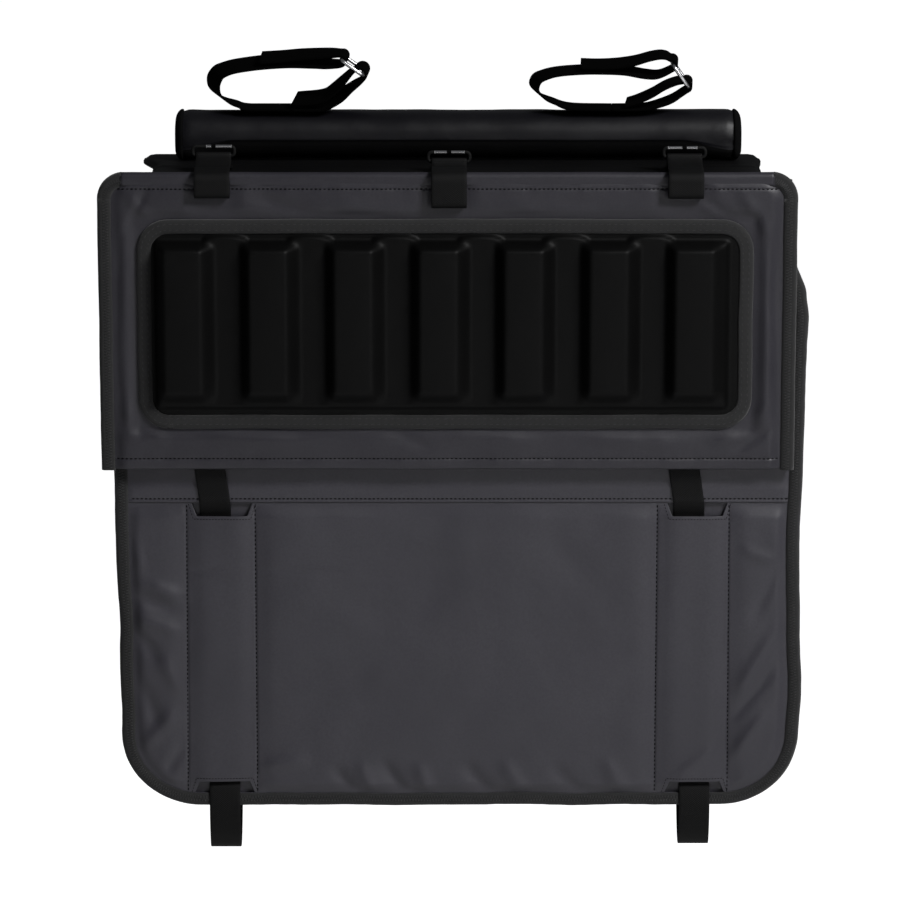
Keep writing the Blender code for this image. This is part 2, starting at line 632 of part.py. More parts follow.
# Buckles and tie straps. A tie strap is sewn behind the flap's hem, goes through the panel's
# upper slot, down its channel, out at the lower slot and up to the buckle on the inner flap.
front_strand = INNER_FRONT - GAP - TAPE - anchor_lift
back_strand = INNER_BACK + GAP + TAPE + anchor_lift
buckle_y = (front_strand + back_strand) / 2
strand_turn = BUCKLE_BAR / sqrt(2) + GAP + WEBBING / 2
top_bar = INNER_BOTTOM - BUCKLE_DROP
middle_bar = top_bar - BUCKLE_BAR - BUCKLE_WINDOW
bottom_bar = middle_bar - BUCKLE_BAR - BUCKLE_WINDOW
behind_flap = FLAP_BACK + anchor_lift
in_channel = panel_foam_front + groove_depth / 2
before_yoke = lap_front - anchor_lift - GAP
before_tape = PANEL_FRONT - GAP - TAPE - anchor_lift - GAP
back_of_buckle = buckle_y + strand_turn
loop_span = buckle_y - strand_turn - before_tape
loop_rise = bottom_bar - PANEL_BOTTOM
for side, (hem_lean, slot_lean, lift) in TIE_LEANS.items():
    low_x = channel_middles[side]
    hem_x = low_x + hem_lean
    slot_x = low_x + slot_lean
    half = TIE_WIDTH / 2 + BUCKLE_CLEARANCE
    rail = half + BUCKLE_RAIL
    buckle = plate(
        f"tie_buckle_{side}",
        rounded(
            low_x - rail, low_x + rail, bottom_bar - BUCKLE_BAR / 2, top_bar + BUCKLE_BAR / 2,
            BUCKLE_CORNER, BUCKLE_CORNER),
        buckle_y - BUCKLE_BAR / 2, buckle_y + BUCKLE_BAR / 2, ACETAL)
    for window, upper_bar in (("upper", top_bar), ("lower", middle_bar)):
        high = upper_bar - BUCKLE_BAR / 2
        opening = rounded(low_x - half, low_x + half, high - BUCKLE_WINDOW, high, 0, 0)
        cut(buckle, f"buckle_window_{side}_{window}", opening, buckle_y - BUCKLE_BAR, buckle_y + BUCKLE_BAR)

    holder = [(back_strand, INNER_BOTTOM + HOLDER_SEAM), (back_strand, INNER_BOTTOM - 3 * TAPE)]
    holder += bend((buckle_y, top_bar), strand_turn, 0.0, -1.0, 10)
    holder += [(front_strand, INNER_BOTTOM - 3 * TAPE), (front_strand, INNER_BOTTOM + HOLDER_SEAM)]
    points = [Vector((low_x, y, z)) for y, z in holder]
    band(f"buckle_webbing_{side}", points, TIE_WIDTH, WEBBING, Vector((1, 0, 0)), BLACK_WEBBING)

    # The loop hangs below the panel by shares of its drop, then rises by shares of its way up
    drop = TIE_LOOP - lift
    falling = ((0.0, 0.08), (0.007, 0.37), (0.044, 0.73), (0.117, 1.0), (0.220, 0.98), (0.338, 0.61))
    rising = ((0.484, 0.011), (0.719, 0.256), (0.895, 0.556), (0.987, 0.833))
    hanging = [(before_tape + loop_span * u, PANEL_BOTTOM - drop * share) for u, share in falling]
    hanging += [(before_tape + loop_span * u, PANEL_BOTTOM + loop_rise * share) for u, share in rising]
    hanging += [(buckle_y - strand_turn, bottom_bar - BUCKLE_WINDOW), (buckle_y - strand_turn, middle_bar)]
    tie = [
        (behind_flap, FLAP_BOTTOM + TIE_SEAM), (behind_flap, FLAP_BOTTOM - SLOT_HEIGHT * 0.3),
        (before_yoke, YOKE_BOTTOM + SLOT_HEIGHT * 0.6), (before_yoke, YOKE_BOTTOM + SLOT_HEIGHT * 0.08),
        (in_channel, upper_slot_bottom + SLOT_HEIGHT * 0.04),
        (in_channel, upper_slot_bottom - SLOT_HEIGHT * 0.46),
        (in_channel, lower_slot_top + SLOT_HEIGHT * 0.23),
        (in_channel, lower_slot_top - SLOT_HEIGHT * 0.115),
        (before_tape, LOWER_SLOT_BOTTOM + SLOT_HEIGHT * 0.115),
    ]
    tie += smooth_route(hanging, 4)[:-1]
    tie += bend((buckle_y, middle_bar), strand_turn, 1.0, -1.0, 10)
    tie += [
        (back_of_buckle, bottom_bar - BUCKLE_WINDOW * 0.75),
        (back_of_buckle + BUCKLE_WINDOW * 0.5, bottom_bar - TIE_TAIL / 2),
        (back_of_buckle + BUCKLE_WINDOW * 0.6, bottom_bar - TIE_TAIL)]
    points = []
    for y, z in tie:
        if z > YOKE_BOTTOM and y < 0:
            share = (z - FLAP_BOTTOM) / (YOKE_BOTTOM - FLAP_BOTTOM)
            x = hem_x + (slot_x - hem_x) * max(share, 0)
        elif y < in_channel + GAP:
            share = (z - YOKE_BOTTOM) / (LOWER_SLOT_BOTTOM - YOKE_BOTTOM)
            x = slot_x + (low_x - slot_x) * min(share, 1)
        else:
            x = low_x
        points.append(Vector((x, y, z)))
    band(f"tie_strap_{side}", points, TIE_WIDTH, WEBBING, Vector((1, 0, 0)), BLACK_WEBBING)
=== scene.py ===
"""Tailgate bike pad: cloth, tapes, moulding, webbing and rings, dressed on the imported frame."""
from math import cos, exp, hypot, pi, radians, sin, sqrt

import bpy
from mathutils import Matrix, Vector, noise


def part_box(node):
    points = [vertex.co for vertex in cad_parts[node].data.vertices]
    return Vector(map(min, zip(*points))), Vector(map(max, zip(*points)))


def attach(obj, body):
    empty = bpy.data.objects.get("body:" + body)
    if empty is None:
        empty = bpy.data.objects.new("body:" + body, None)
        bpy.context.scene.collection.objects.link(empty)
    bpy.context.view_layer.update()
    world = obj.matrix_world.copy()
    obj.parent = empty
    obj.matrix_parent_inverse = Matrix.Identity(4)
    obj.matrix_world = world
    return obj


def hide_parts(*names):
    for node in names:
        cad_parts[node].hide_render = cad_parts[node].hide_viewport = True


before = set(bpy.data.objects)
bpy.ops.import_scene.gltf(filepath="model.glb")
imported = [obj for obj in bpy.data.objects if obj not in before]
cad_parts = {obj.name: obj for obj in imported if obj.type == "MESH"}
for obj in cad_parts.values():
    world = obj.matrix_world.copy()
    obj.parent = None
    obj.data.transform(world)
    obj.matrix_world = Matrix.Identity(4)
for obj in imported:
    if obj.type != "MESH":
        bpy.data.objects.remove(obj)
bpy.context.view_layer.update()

# Flap cloth
# The front flap's face is a coated polyester cloth, charcoal with a cool tint. It is laid over
# 5 mm foam, pulled in by its seams, and folded under at the hem.
flap_low, flap_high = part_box("flap_face")
FLAP_Y = flap_low.y
FLAP_CORNER = 0.026
TAPE_WIDTH = 0.013
TOP_SEAM_Z = flap_high.z - 0.0150
HEM_SEAM_Z = flap_low.z + 0.0095
HEM_RADIUS = 0.0040
HEM_RETURN = 0.015
CLOTH = 0.0011
GRID_STEP = 0.0032
bumper_low, bumper_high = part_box("bumper_moulding")


def ramp(value, low, high):
    """A smooth step from 0 at low to 1 at high."""
    share = min(max((value - low) / (high - low), 0.0), 1.0)
    return share * share * (3.0 - 2.0 * share)


def ridge(x, z, folds):
    """The height that soft folds add. Each is x0, z0, x1, z1, half width and height."""
    total = 0.0
    for x0, z0, x1, z1, width, height in folds:
        run = hypot(x1 - x0, z1 - z0)
        along = ((x - x0) * (x1 - x0) + (z - z0) * (z1 - z0)) / run / run
        if -0.3 < along < 1.3:
            across = ((x - x0) * (z1 - z0) - (z - z0) * (x1 - x0)) / run
            if abs(across) < 3 * width:
                crest = height * exp(-(across / width) ** 2)
                total += crest * ramp(along, -0.3, 0.25) * ramp(1.3 - along, 0, 0.55)
    return total


def waves(x, z, scale, seed):
    """Even, soft unevenness from -1 to 1."""
    return noise.noise(Vector((x * scale, seed, z * scale)))


def steps(low, high, step, *fine):
    """Grid lines from low to high, closer together round the fine places."""
    count = max(round((high - low) / step), 1)
    lines = {low + (high - low) * number / count for number in range(count + 1)}
    for place in fine:
        for offset in (-0.0024, -0.0012, -0.0005, 0.0, 0.0005, 0.0012, 0.0024):
            if low < place + offset < high:
                lines.add(place + offset)
    ordered = sorted(lines)
    kept = [ordered[0]]
    for line in ordered[1:-1]:
        if line - kept[-1] > 0.0003 and ordered[-1] - line > 0.0003:
            kept.append(line)
    return kept + [ordered[-1]]


def new_piece(name, points, faces, marks=()):
    """An object from points and faces. marks gives the UV, in metres, of each face's corners."""
    mesh = bpy.data.meshes.new(name)
    mesh.from_pydata(points, [], faces)
    layer = mesh.uv_layers.new(name="cloth")
    for polygon, corners in zip(mesh.polygons, marks):
        for loop, mark in zip(polygon.loop_indices, corners):
            layer.data[loop].uv = mark
    piece = bpy.data.objects.new(name, mesh)
    bpy.context.scene.collection.objects.link(piece)
    return piece


def cloth(name, columns, rows, place):
    """A sheet of quads that faces the front: place gives each corner, and the grid its UV."""
    wide = len(columns)
    points = [place(column, row) for row in rows for column in columns]
    faces = []
    marks = []
    for row, (low, high) in enumerate(zip(rows, rows[1:])):
        for column, (left, right) in enumerate(zip(columns, columns[1:])):
            here = row * wide + column
            faces.append((here, here + 1, here + wide + 1, here + wide))
            marks.append(((left, low), (right, low), (right, high), (left, high)))
    return new_piece(name, points, faces, marks)


def choose(piece):
    """Select one piece alone and make it active."""
    bpy.ops.object.select_all(action="DESELECT")
    piece.select_set(True)
    bpy.context.view_layer.objects.active = piece


def thicken(piece, thickness):
    """Give a sheet its thickness, behind its face."""
    wall = piece.modifiers.new("thickness", "SOLIDIFY")
    wall.thickness = thickness
    wall.offset = -1.0
    choose(piece)
    bpy.ops.object.modifier_apply(modifier=wall.name)


def settle(piece, material, slot, *nodes):
    """Finish a piece: its material, smooth faces, body, and the nodes it stands for. slot is not used."""
    piece.data.materials.clear()
    piece.data.materials.append(material)
    piece.data.shade_smooth()
    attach(piece, "root")
    if nodes:
        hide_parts(*nodes)


def add_node(tree, kind, inputs=None, **settings):
    """One shader node: settings are its own, inputs are values or other nodes' outputs."""
    node = tree.nodes.new(kind)
    for name, value in settings.items():
        setattr(node, name, value)
    for name, value in (inputs or {}).items():
        if isinstance(value, bpy.types.NodeSocket):
            tree.links.new(value, node.inputs[name])
        else:
            node.inputs[name].default_value = value
    return node


def new_group(name, inputs, outputs):
    """An empty node group with named sockets; returns the group and its two end nodes."""
    group = bpy.data.node_groups.new(name, "ShaderNodeTree")
    for label, kind in inputs:
        group.interface.new_socket(label, in_out="INPUT", socket_type=kind)
    for label, kind in outputs:
        group.interface.new_socket(label, in_out="OUTPUT", socket_type=kind)
    return group, group.nodes.new("NodeGroupInput"), group.nodes.new("NodeGroupOutput")


FLOAT = "NodeSocketFloat"
VECTOR = "NodeSocketVector"
COLOUR = "NodeSocketColor"


def sine_of(group, value, threads):
    """The sine of a coordinate, so that threads whole waves fit in a metre."""
    turns = add_node(group, "ShaderNodeMath", {0: value, 1: threads}, operation="MULTIPLY")
    return add_node(group, "ShaderNodeMath", {0: turns.outputs[0]}, operation="SINE").outputs[0]


# Plain weave: warp and weft go over each other in turn. Spacing is waves per metre times two pi.
weave_group, weave_in, weave_out = new_group(
    "plain_weave", [("Vector", VECTOR), ("Across", FLOAT), ("Along", FLOAT)], [("Height", FLOAT)])
parts = add_node(weave_group, "ShaderNodeSeparateXYZ", {0: weave_in.outputs["Vector"]})
warp = sine_of(weave_group, parts.outputs[0], weave_in.outputs["Across"])
weft = sine_of(weave_group, parts.outputs[1], weave_in.outputs["Along"])
crossing = add_node(weave_group, "ShaderNodeMath", {0: warp, 1: weft}, operation="MULTIPLY")
lifted = add_node(weave_group, "ShaderNodeMath", {
    0: crossing.outputs[0], 1: 0.5, 2: 0.5}, operation="MULTIPLY_ADD")
weave_group.links.new(lifted.outputs[0], weave_out.inputs["Height"])

# Cloth tone: broad handling marks and a fine fleck over one colour, and a roughness that varies
tone_group, tone_in, tone_out = new_group(
    "cloth_tone",
    [("Vector", VECTOR), ("Colour", COLOUR), ("Worn", COLOUR), ("Broad", FLOAT), ("Fleck", FLOAT),
     ("Rough", FLOAT), ("Spread", FLOAT)],
    [("Colour", COLOUR), ("Roughness", FLOAT)])
broad = add_node(tone_group, "ShaderNodeTexNoise", {
    "Vector": tone_in.outputs["Vector"], "Scale": tone_in.outputs["Broad"], "Detail": 4.0})
fleck = add_node(tone_group, "ShaderNodeTexNoise", {
    "Vector": tone_in.outputs["Vector"], "Scale": tone_in.outputs["Fleck"], "Detail": 2.0})
both = add_node(tone_group, "ShaderNodeMath", {
    0: broad.outputs[0], 1: fleck.outputs[0]}, operation="MULTIPLY")
share = add_node(tone_group, "ShaderNodeMapRange", {
    "Value": both.outputs[0], "From Min": 0.12, "From Max": 0.42, "To Min": 0.0, "To Max": 1.0})
mixed = add_node(tone_group, "ShaderNodeMix", {
    0: share.outputs[0], 6: tone_in.outputs["Colour"], 7: tone_in.outputs["Worn"]}, data_type="RGBA")
tone_group.links.new(mixed.outputs[2], tone_out.inputs["Colour"])
centred = add_node(tone_group, "ShaderNodeMath", {0: broad.outputs[0], 1: 0.5}, operation="SUBTRACT")
varied = add_node(tone_group, "ShaderNodeMath", {
    0: centred.outputs[0], 1: tone_in.outputs["Spread"], 2: tone_in.outputs["Rough"]},
    operation="MULTIPLY_ADD")
tone_group.links.new(varied.outputs[0], tone_out.inputs["Roughness"])


def cloth_material(name, colour, worn, rough, weave, relief, crinkle, sheen=0.0, specular=0.5, spread=0.25):
    """A woven or coated cloth. weave is threads per metre, relief and crinkle are depths in metres."""
    material = bpy.data.materials.new(name)
    material.use_nodes = True
    tree = material.node_tree
    shader = tree.nodes["Principled BSDF"]
    place = add_node(tree, "ShaderNodeTexCoord").outputs["Object"]
    sheet_uv = add_node(tree, "ShaderNodeUVMap", uv_map="cloth").outputs["UV"]
    tone = add_node(tree, "ShaderNodeGroup", {
        "Vector": place, "Colour": (*colour, 1), "Worn": (*worn, 1), "Broad": 9.0, "Fleck": 420.0,
        "Rough": rough, "Spread": spread}, node_tree=tone_group)
    threads = add_node(tree, "ShaderNodeGroup", {
        "Vector": sheet_uv, "Across": weave * pi, "Along": weave * pi}, node_tree=weave_group)
    soft = add_node(tree, "ShaderNodeTexNoise", {"Vector": place, "Scale": 130.0, "Detail": 3.0})
    low = add_node(tree, "ShaderNodeBump", {"Height": soft.outputs[0], "Distance": crinkle, "Strength": 1.0})
    high = add_node(tree, "ShaderNodeBump", {
        "Height": threads.outputs["Height"], "Distance": relief, "Strength": 1.0, "Normal": low.outputs[0]})
    tree.links.new(tone.outputs["Colour"], shader.inputs["Base Color"])
    tree.links.new(tone.outputs["Roughness"], shader.inputs["Roughness"])
    tree.links.new(high.outputs[0], shader.inputs["Normal"])
    shader.inputs["Specular IOR Level"].default_value = specular
    shader.inputs["Sheen Weight"].default_value = sheen
    return material


CLOTH_ROUGH = 0.44
CLOTH_THREADS = 1700
TARPAULIN = cloth_material(
    "tarpaulin", (0.0270, 0.0256, 0.0330), (0.0350, 0.0334, 0.0415), CLOTH_ROUGH, CLOTH_THREADS,
    0.00005, 0.00018, 0.0, 0.40)
# The flap's copy of the coated cloth is coloured darker than the lower panel's: painted shade.
FLAP_PAINTED_SHADE_CLOTH = cloth_material(
    "flap_tarpaulin_painted_shade", (0.0180, 0.0170, 0.0224), (0.0240, 0.0228, 0.0288), CLOTH_ROUGH, CLOTH_THREADS,
    0.00005, 0.00018, 0.0, 0.34)

# Each fold is x0, z0, x1, z1, half width and height. The anchor loops hold the cloth flat at HELD.
FLAP_FOLDS = (
    (-0.322, -0.012, -0.296, -0.040, 0.005, 0.0022), (-0.306, -0.010, -0.322, -0.046, 0.004, -0.0020),
    (-0.240, -0.016, -0.272, -0.038, 0.006, 0.0016), (-0.190, -0.014, -0.130, -0.034, 0.007, -0.0022),
    (-0.333, -0.060, -0.336, -0.150, 0.004, -0.0026), (-0.338, -0.160, -0.331, -0.250, 0.004, -0.0022),
    (-0.110, -0.020, -0.040, -0.030, 0.007, 0.0014), (0.060, -0.022, 0.150, -0.032, 0.007, 0.0014),
    (0.258, -0.016, 0.306, -0.048, 0.005, -0.0026), (0.240, -0.014, 0.290, -0.040, 0.005, 0.0018),
    (0.300, -0.014, 0.322, -0.050, 0.006, 0.0020), (0.323, -0.070, 0.324, -0.230, 0.005, 0.0026),
    (0.333, -0.080, 0.334, -0.200, 0.004, -0.0016), (-0.325, -0.235, -0.290, -0.262, 0.007, 0.0020),
    (-0.240, -0.256, -0.150, -0.266, 0.008, 0.0016), (-0.060, -0.252, -0.020, -0.270, 0.006, -0.0022),
    (0.000, -0.252, 0.080, -0.264, 0.008, 0.0020), (0.150, -0.262, 0.240, -0.268, 0.006, 0.0014),
    (0.280, -0.262, 0.325, -0.228, 0.007, 0.0022), (0.296, -0.272, 0.326, -0.252, 0.005, -0.0020),
)
FLAP_HELD = (-0.2370, 0.0015, 0.2400)
FLAP_HELD_LOW = -0.034


def flap_half_width(z):
    """Half the flap's width at a height: it narrows round its top corners."""
    above = z - (flap_high.z - FLAP_CORNER)
    drop = FLAP_CORNER - sqrt(max(FLAP_CORNER ** 2 - max(above, 0.0) ** 2, 0.0))
    return flap_high.x - drop


def clear_of_bumper(x, z):
    """How far a place lies outside the bumper's tape."""
    over_x = max(bumper_low.x - x, x - bumper_high.x, 0.0)
    over_z = max(bumper_low.z - z, z - bumper_high.z, 0.0)
    return hypot(over_x, over_z)


def flap_height(x, z):
    """How far the flap's cloth stands off its foam: none under the tapes, some between them."""
    side = flap_half_width(z) - abs(x)
    free = ramp(side, TAPE_WIDTH, TAPE_WIDTH + 0.011) * ramp(clear_of_bumper(x, z), 0.001, 0.014)
    free *= ramp(flap_high.z - z, 0.004, 0.016)
    height = 0.0030 + 0.0014 * waves(x, z, 14.0, 3.1) + 0.0006 * waves(x, z, 42.0, 7.7)
    height += ridge(x, z, FLAP_FOLDS)
    if z > FLAP_HELD_LOW:
        for middle in FLAP_HELD:
            height *= 1.0 - 0.75 * exp(-((x - middle) / 0.026) ** 4)
    pucker = 0.0005 * waves(x * 3.0, z * 0.5, 45.0, 1.3)
    near_hem = exp(-((z - HEM_SEAM_Z) / 0.006) ** 2)
    near_top = exp(-((z - TOP_SEAM_Z) / 0.006) ** 2)
    height += pucker * (near_hem + near_top)
    pulled = exp(-((z - HEM_SEAM_Z) / 0.0013) ** 2) + exp(-((z - TOP_SEAM_Z) / 0.0013) ** 2)
    hem_step = 0.0006 * ramp(HEM_SEAM_Z - z, -0.001, 0.0015)
    hem_step *= ramp(side, TAPE_WIDTH, TAPE_WIDTH + 0.004)
    return max((height - 0.0007 * pulled) * free, 0.0) + hem_step


def flap_place(x, z):
    """A corner of the flap's cloth. Rows below the hem go round it and up its back."""
    share = x / flap_high.x
    if z >= flap_low.z:
        return Vector((share * flap_half_width(z), FLAP_Y - flap_height(x, z), z))
    run = flap_low.z - z
    turn = min(run / HEM_RADIUS, pi)
    wave = 0.0006 * waves(x, 0.0, 9.0, 5.0)
    front = FLAP_Y - flap_height(x, flap_low.z)
    outer = HEM_RADIUS + CLOTH / 2
    rise = max(run - pi * HEM_RADIUS, 0.0)
    height = flap_low.z + wave - (HEM_RADIUS * 0.5) * sin(turn) + rise
    return Vector((x, front + HEM_RADIUS + CLOTH / 2 - outer * cos(turn), height))


flap_rows = steps(flap_low.z, flap_high.z, GRID_STEP, TOP_SEAM_Z, HEM_SEAM_Z)
hem_rows = [flap_low.z - pi * HEM_RADIUS * step / 8 for step in range(8, 0, -1)]
hem_rows = [hem_rows[0] - HEM_RETURN, hem_rows[0] - HEM_RETURN / 2] + hem_rows
flap_columns = steps(flap_low.x, flap_high.x, GRID_STEP)
flap_cloth = cloth("flap_cloth", flap_columns, hem_rows + flap_rows, flap_place)
thicken(flap_cloth, CLOTH)
settle(flap_cloth, FLAP_PAINTED_SHADE_CLOTH, "tarpaulin", "flap_face")

# Binding tape and stitches
# Woven polyester tape is folded round every raw edge and sewn through with a zigzag of dark
# thread. The flap's top edge has a folded strip of the coated cloth instead.
TAPE = 0.0013
TAPE_FOLD = 0.0025
SEAM_THREAD = 0.0006
TAPE_THREAD = 0.0003
STITCH_INSETS = (0.0035, 0.0098)
BINDING = cloth_material(
    "binding", (0.0086, 0.0086, 0.0088), (0.0160, 0.0160, 0.0166), 0.78, 1100, 0.00026, 0.00025, 0.20, 0.25)
THREAD = cloth_material(
    "thread", (0.0006, 0.0006, 0.0007), (0.0012, 0.0012, 0.0013), 0.75, 2600, 0.00004, 0.00002, 0.0, 0.05)
LIGHT_THREAD = cloth_material(
    "tape_thread", (0.0130, 0.0130, 0.0136), (0.0200, 0.0200, 0.0206), 0.60, 2600,
    0.00004, 0.00002, 0.2, 0.3)


def straight(x0, z0, x1, z1, normal, step=0.004):
    """Places along a straight edge, each with the edge's outward normal."""
    count = max(round(hypot(x1 - x0, z1 - z0) / step), 1)
    return [
        (x0 + (x1 - x0) * place / count, z0 + (z1 - z0) * place / count, *normal)
        for place in range(count + 1)]


def corner(x, z, radius, start, end, count=14):
    """Places round a corner between two angles in degrees, each with its outward normal."""
    turns = [radians(start + (end - start) * place / count) for place in range(count + 1)]
    return [(x + radius * cos(turn), z + radius * sin(turn), cos(turn), sin(turn)) for turn in turns]


def hanging_edge(low, high, top_z, radius, count):
    """The edge of a panel that hangs: down its left side, along its bottom and up its right side."""
    edge = straight(low.x, top_z, low.x, low.z + radius, (-1, 0))
    edge += corner(low.x + radius, low.z + radius, radius, 180, 270, count)[1:]
    edge += straight(low.x + radius, low.z, high.x - radius, low.z, (0, -1))[1:]
    edge += corner(high.x - radius, low.z + radius, radius, 270, 360, count)[1:]
    return edge + straight(high.x, low.z + radius, high.x, top_z, (1, 0))[1:]


def running_lengths(places):
    """How far each place is along a closed line, and the line's whole length."""
    lengths = [0.0]
    for here, there in zip(places, places[1:] + places[:1]):
        lengths.append(lengths[-1] + hypot(*(end - start for start, end in zip(here[:2], there[:2]))))
    return lengths


def swept(name, path, section, closed, sway=0.0):
    """A section swept along an edge. The section's places are (inset from the edge, y)."""
    count = len(section)
    points = []
    for number, (x, z, out_x, out_z) in enumerate(path):
        shift = sway * (0.5 + waves(x, z, 16.0, 9.2)) + 0.2 * sway * waves(x, z, 90.0, 2.2)
        for inset, y in section:
            reach = shift - inset
            points.append((x + out_x * reach, y, z + out_z * reach))
    run = running_lengths(path)
    girth = running_lengths(section)
    faces = []
    marks = []
    last = len(path) if closed else len(path) - 1
    for ring in range(last):
        here = ring * count
        there = (ring + 1) % len(path) * count
        for step in range(count):
            turn = (step + 1) % count
            faces.append((here + step, here + turn, there + turn, there + step))
            marks.append((
                (girth[step], run[ring]), (girth[step + 1], run[ring]),
                (girth[step + 1], run[ring + 1]), (girth[step], run[ring + 1])))
    if not closed:
        faces.append(tuple(range(count - 1, -1, -1)))
        faces.append(tuple(range(len(points) - count, len(points))))
        marks += [((0.0, 0.0),) * count] * 2
    piece = new_piece(name, points, faces, marks)
    turn_outward(piece)
    return piece


def turn_outward(piece):
    """Turn all of a closed piece's faces outwards."""
    choose(piece)
    bpy.ops.object.mode_set(mode="EDIT")
    bpy.ops.mesh.select_all(action="SELECT")
    bpy.ops.mesh.normals_make_consistent(inside=False)
    bpy.ops.object.mode_set(mode="OBJECT")


def folded(front, back, width=TAPE_WIDTH, thickness=TAPE, fold=TAPE_FOLD):
    """The section of a tape folded round an edge: front leg, rounded fold and back leg."""
    def line(deeper):
        middle = (front + back) / 2
        half = (back - front) / 2 + thickness - deeper
        reach = fold + thickness - deeper
        legs = [width - deeper * 0.2, width * 0.75, width * 0.5, fold + 0.001]
        crown = [0.0004, 0.0001, 0.0, 0.0]
        places = [(inset, middle - half + low) for inset, low in zip(legs, crown)]
        for number in range(9):
            angle = pi * number / 8
            places.append((fold - reach * sin(angle), middle - half * cos(angle)))
        places += [(inset, middle + half - low) for inset, low in zip(reversed(legs), reversed(crown))]
        return places
    return line(0.0) + list(reversed(line(thickness - 0.0002)))


# Each ring of a stitch: its place along the stitch, its size and its lift, both in radii
STITCH_RINGS = ((0.0, 0.45, -0.7), (0.18, 0.95, 0.1), (0.82, 0.95, 0.1), (1.0, 0.45, -0.7))


def stitches(name, pairs, radius, material):
    """Short threads, one from each pair of ends, that dip into the cloth where they go through."""
    sides = 6
    points = []
    faces = []
    for start, end in pairs:
        axis = end - start
        length = axis.length
        axis.normalize()
        side = axis.cross(Vector((0.0, -1.0, 0.0))).normalized()
        out = side.cross(axis).normalized()
        if out.y > 0:
            out = -out
        base = len(points)
        for share, size, lift in STITCH_RINGS:
            middle = start + axis * length * share + out * radius * lift
            for number in range(sides):
                angle = 2 * pi * number / sides
                points.append(middle + (side * cos(angle) + out * sin(angle)) * radius * size)
        for ring in range(3):
            for number in range(sides):
                turn = (number + 1) % sides
                here = base + ring * sides
                faces.append((here + number, here + turn, here + sides + turn, here + sides + number))
        faces.append(tuple(base + number for number in range(sides - 1, -1, -1)))
        faces.append(tuple(base + 3 * sides + number for number in range(sides)))
    piece = new_piece(name, points, faces)
    turn_outward(piece)
    settle(piece, material, "binding")


def running(x0, z0, x1, z1, surface, pitch=0.0044, stitch=0.0028):
    """The ends of a straight seam's stitches on a surface."""
    run = hypot(x1 - x0, z1 - z0)
    count = int(run / pitch)
    along = Vector(((x1 - x0) / run, (z1 - z0) / run))
    pairs = []
    for number in range(count):
        centre = (number + 0.5) * run / count
        ends = []
        for reach in (centre - stitch / 2, centre + stitch / 2):
            x = x0 + along.x * reach
            z = z0 + along.y * reach
            ends.append(Vector((x, surface(x, z) - 0.0001, z)))
        pairs.append(ends)
    return pairs


def zigzag(path, front, inner, outer, pitch=0.0030):
    """The ends of a zigzag's stitches along an edge, between two insets."""
    pairs = []
    run = 0.0
    marks = []
    for here, there in zip(path, path[1:]):
        length = hypot(there[0] - here[0], there[1] - here[1])
        while length > 0 and run <= length:
            share = run / length
            marks.append([start + (end - start) * share for start, end in zip(here, there)])
            run += pitch / 2
        run -= length
    for number, (here, there) in enumerate(zip(marks, marks[1:])):
        insets = (inner, outer) if number % 2 else (outer, inner)
        ends = [
            Vector((x - out_x * inset, front, z - out_z * inset))
            for (x, z, out_x, out_z), inset in zip((here, there), insets)]
        pairs.append(ends)
    return pairs


flap_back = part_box("flap_lining")[1].y
tape_front = FLAP_Y - TAPE - 0.0002
inner_x = flap_high.x - FLAP_CORNER
inner_z = flap_high.z - FLAP_CORNER
tape_end = flap_low.z - 0.003
left_side = straight(flap_low.x, tape_end, flap_low.x, inner_z, (-1, 0))
left_side += corner(-inner_x, inner_z, FLAP_CORNER, 180, 96)
right_side = straight(flap_high.x, tape_end, flap_high.x, inner_z, (1, 0))
right_side += corner(inner_x, inner_z, FLAP_CORNER, 0, 84)
for side, path in {"left": left_side, "right": right_side}.items():
    tape = swept(f"flap_tape_{side}", path, folded(FLAP_Y, flap_back), False, 0.0007)
    settle(tape, BINDING, "binding")
    seam = zigzag(path, tape_front, *STITCH_INSETS)
    stitches(f"flap_tape_stitches_{side}", seam, TAPE_THREAD, LIGHT_THREAD)
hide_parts("flap_binding")
top_strip = swept(
    "flap_top_strip", straight(-inner_x - 0.004, flap_high.z, inner_x + 0.004, flap_high.z, (0, 1)),
    folded(FLAP_Y - 0.0004, flap_back, 0.0128, 0.0012, 0.0040), False, 0.0004)
settle(top_strip, FLAP_PAINTED_SHADE_CLOTH, "tarpaulin")


def flap_surface(x, z):
    """The front of the flap's cloth."""
    return FLAP_Y - flap_height(x, z)


seam_reach = flap_high.x - TAPE_WIDTH - 0.001
for name, seam_z in {"flap_top_seam": TOP_SEAM_Z, "flap_hem_seam": HEM_SEAM_Z}.items():
    seam = running(-seam_reach, seam_z, seam_reach, seam_z, flap_surface)
    stitches(name, seam, SEAM_THREAD, THREAD)

# Flap lining
# The flap's back is a brushed black knit, laid plain behind the foam.
LINING = cloth_material(
    "lining", (0.0100, 0.0100, 0.0105), (0.0170, 0.0170, 0.0180), 0.92, 900, 0.00020, 0.00040, 0.35, 0.2)
lining_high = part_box("flap_lining")[1]


def lining_place(x, z):
    """A corner of the flap's lining, which faces back."""
    share = x / flap_high.x
    ease = 0.0005 * (1 + waves(x, z, 12.0, 4.4)) * ramp(flap_half_width(z) - abs(x), TAPE_WIDTH, 0.03)
    return Vector((share * flap_half_width(z), lining_high.y + ease * ramp(flap_high.z - z, 0.012, 0.03), z))


lining_columns = steps(flap_low.x, flap_high.x, 0.012)
lining_rows = steps(flap_low.z + 0.001, flap_high.z, 0.010)
flap_lining = cloth("flap_back", list(reversed(lining_columns)), lining_rows, lining_place)
thicken(flap_lining, CLOTH)
settle(flap_lining, LINING, "lining", "flap_lining")

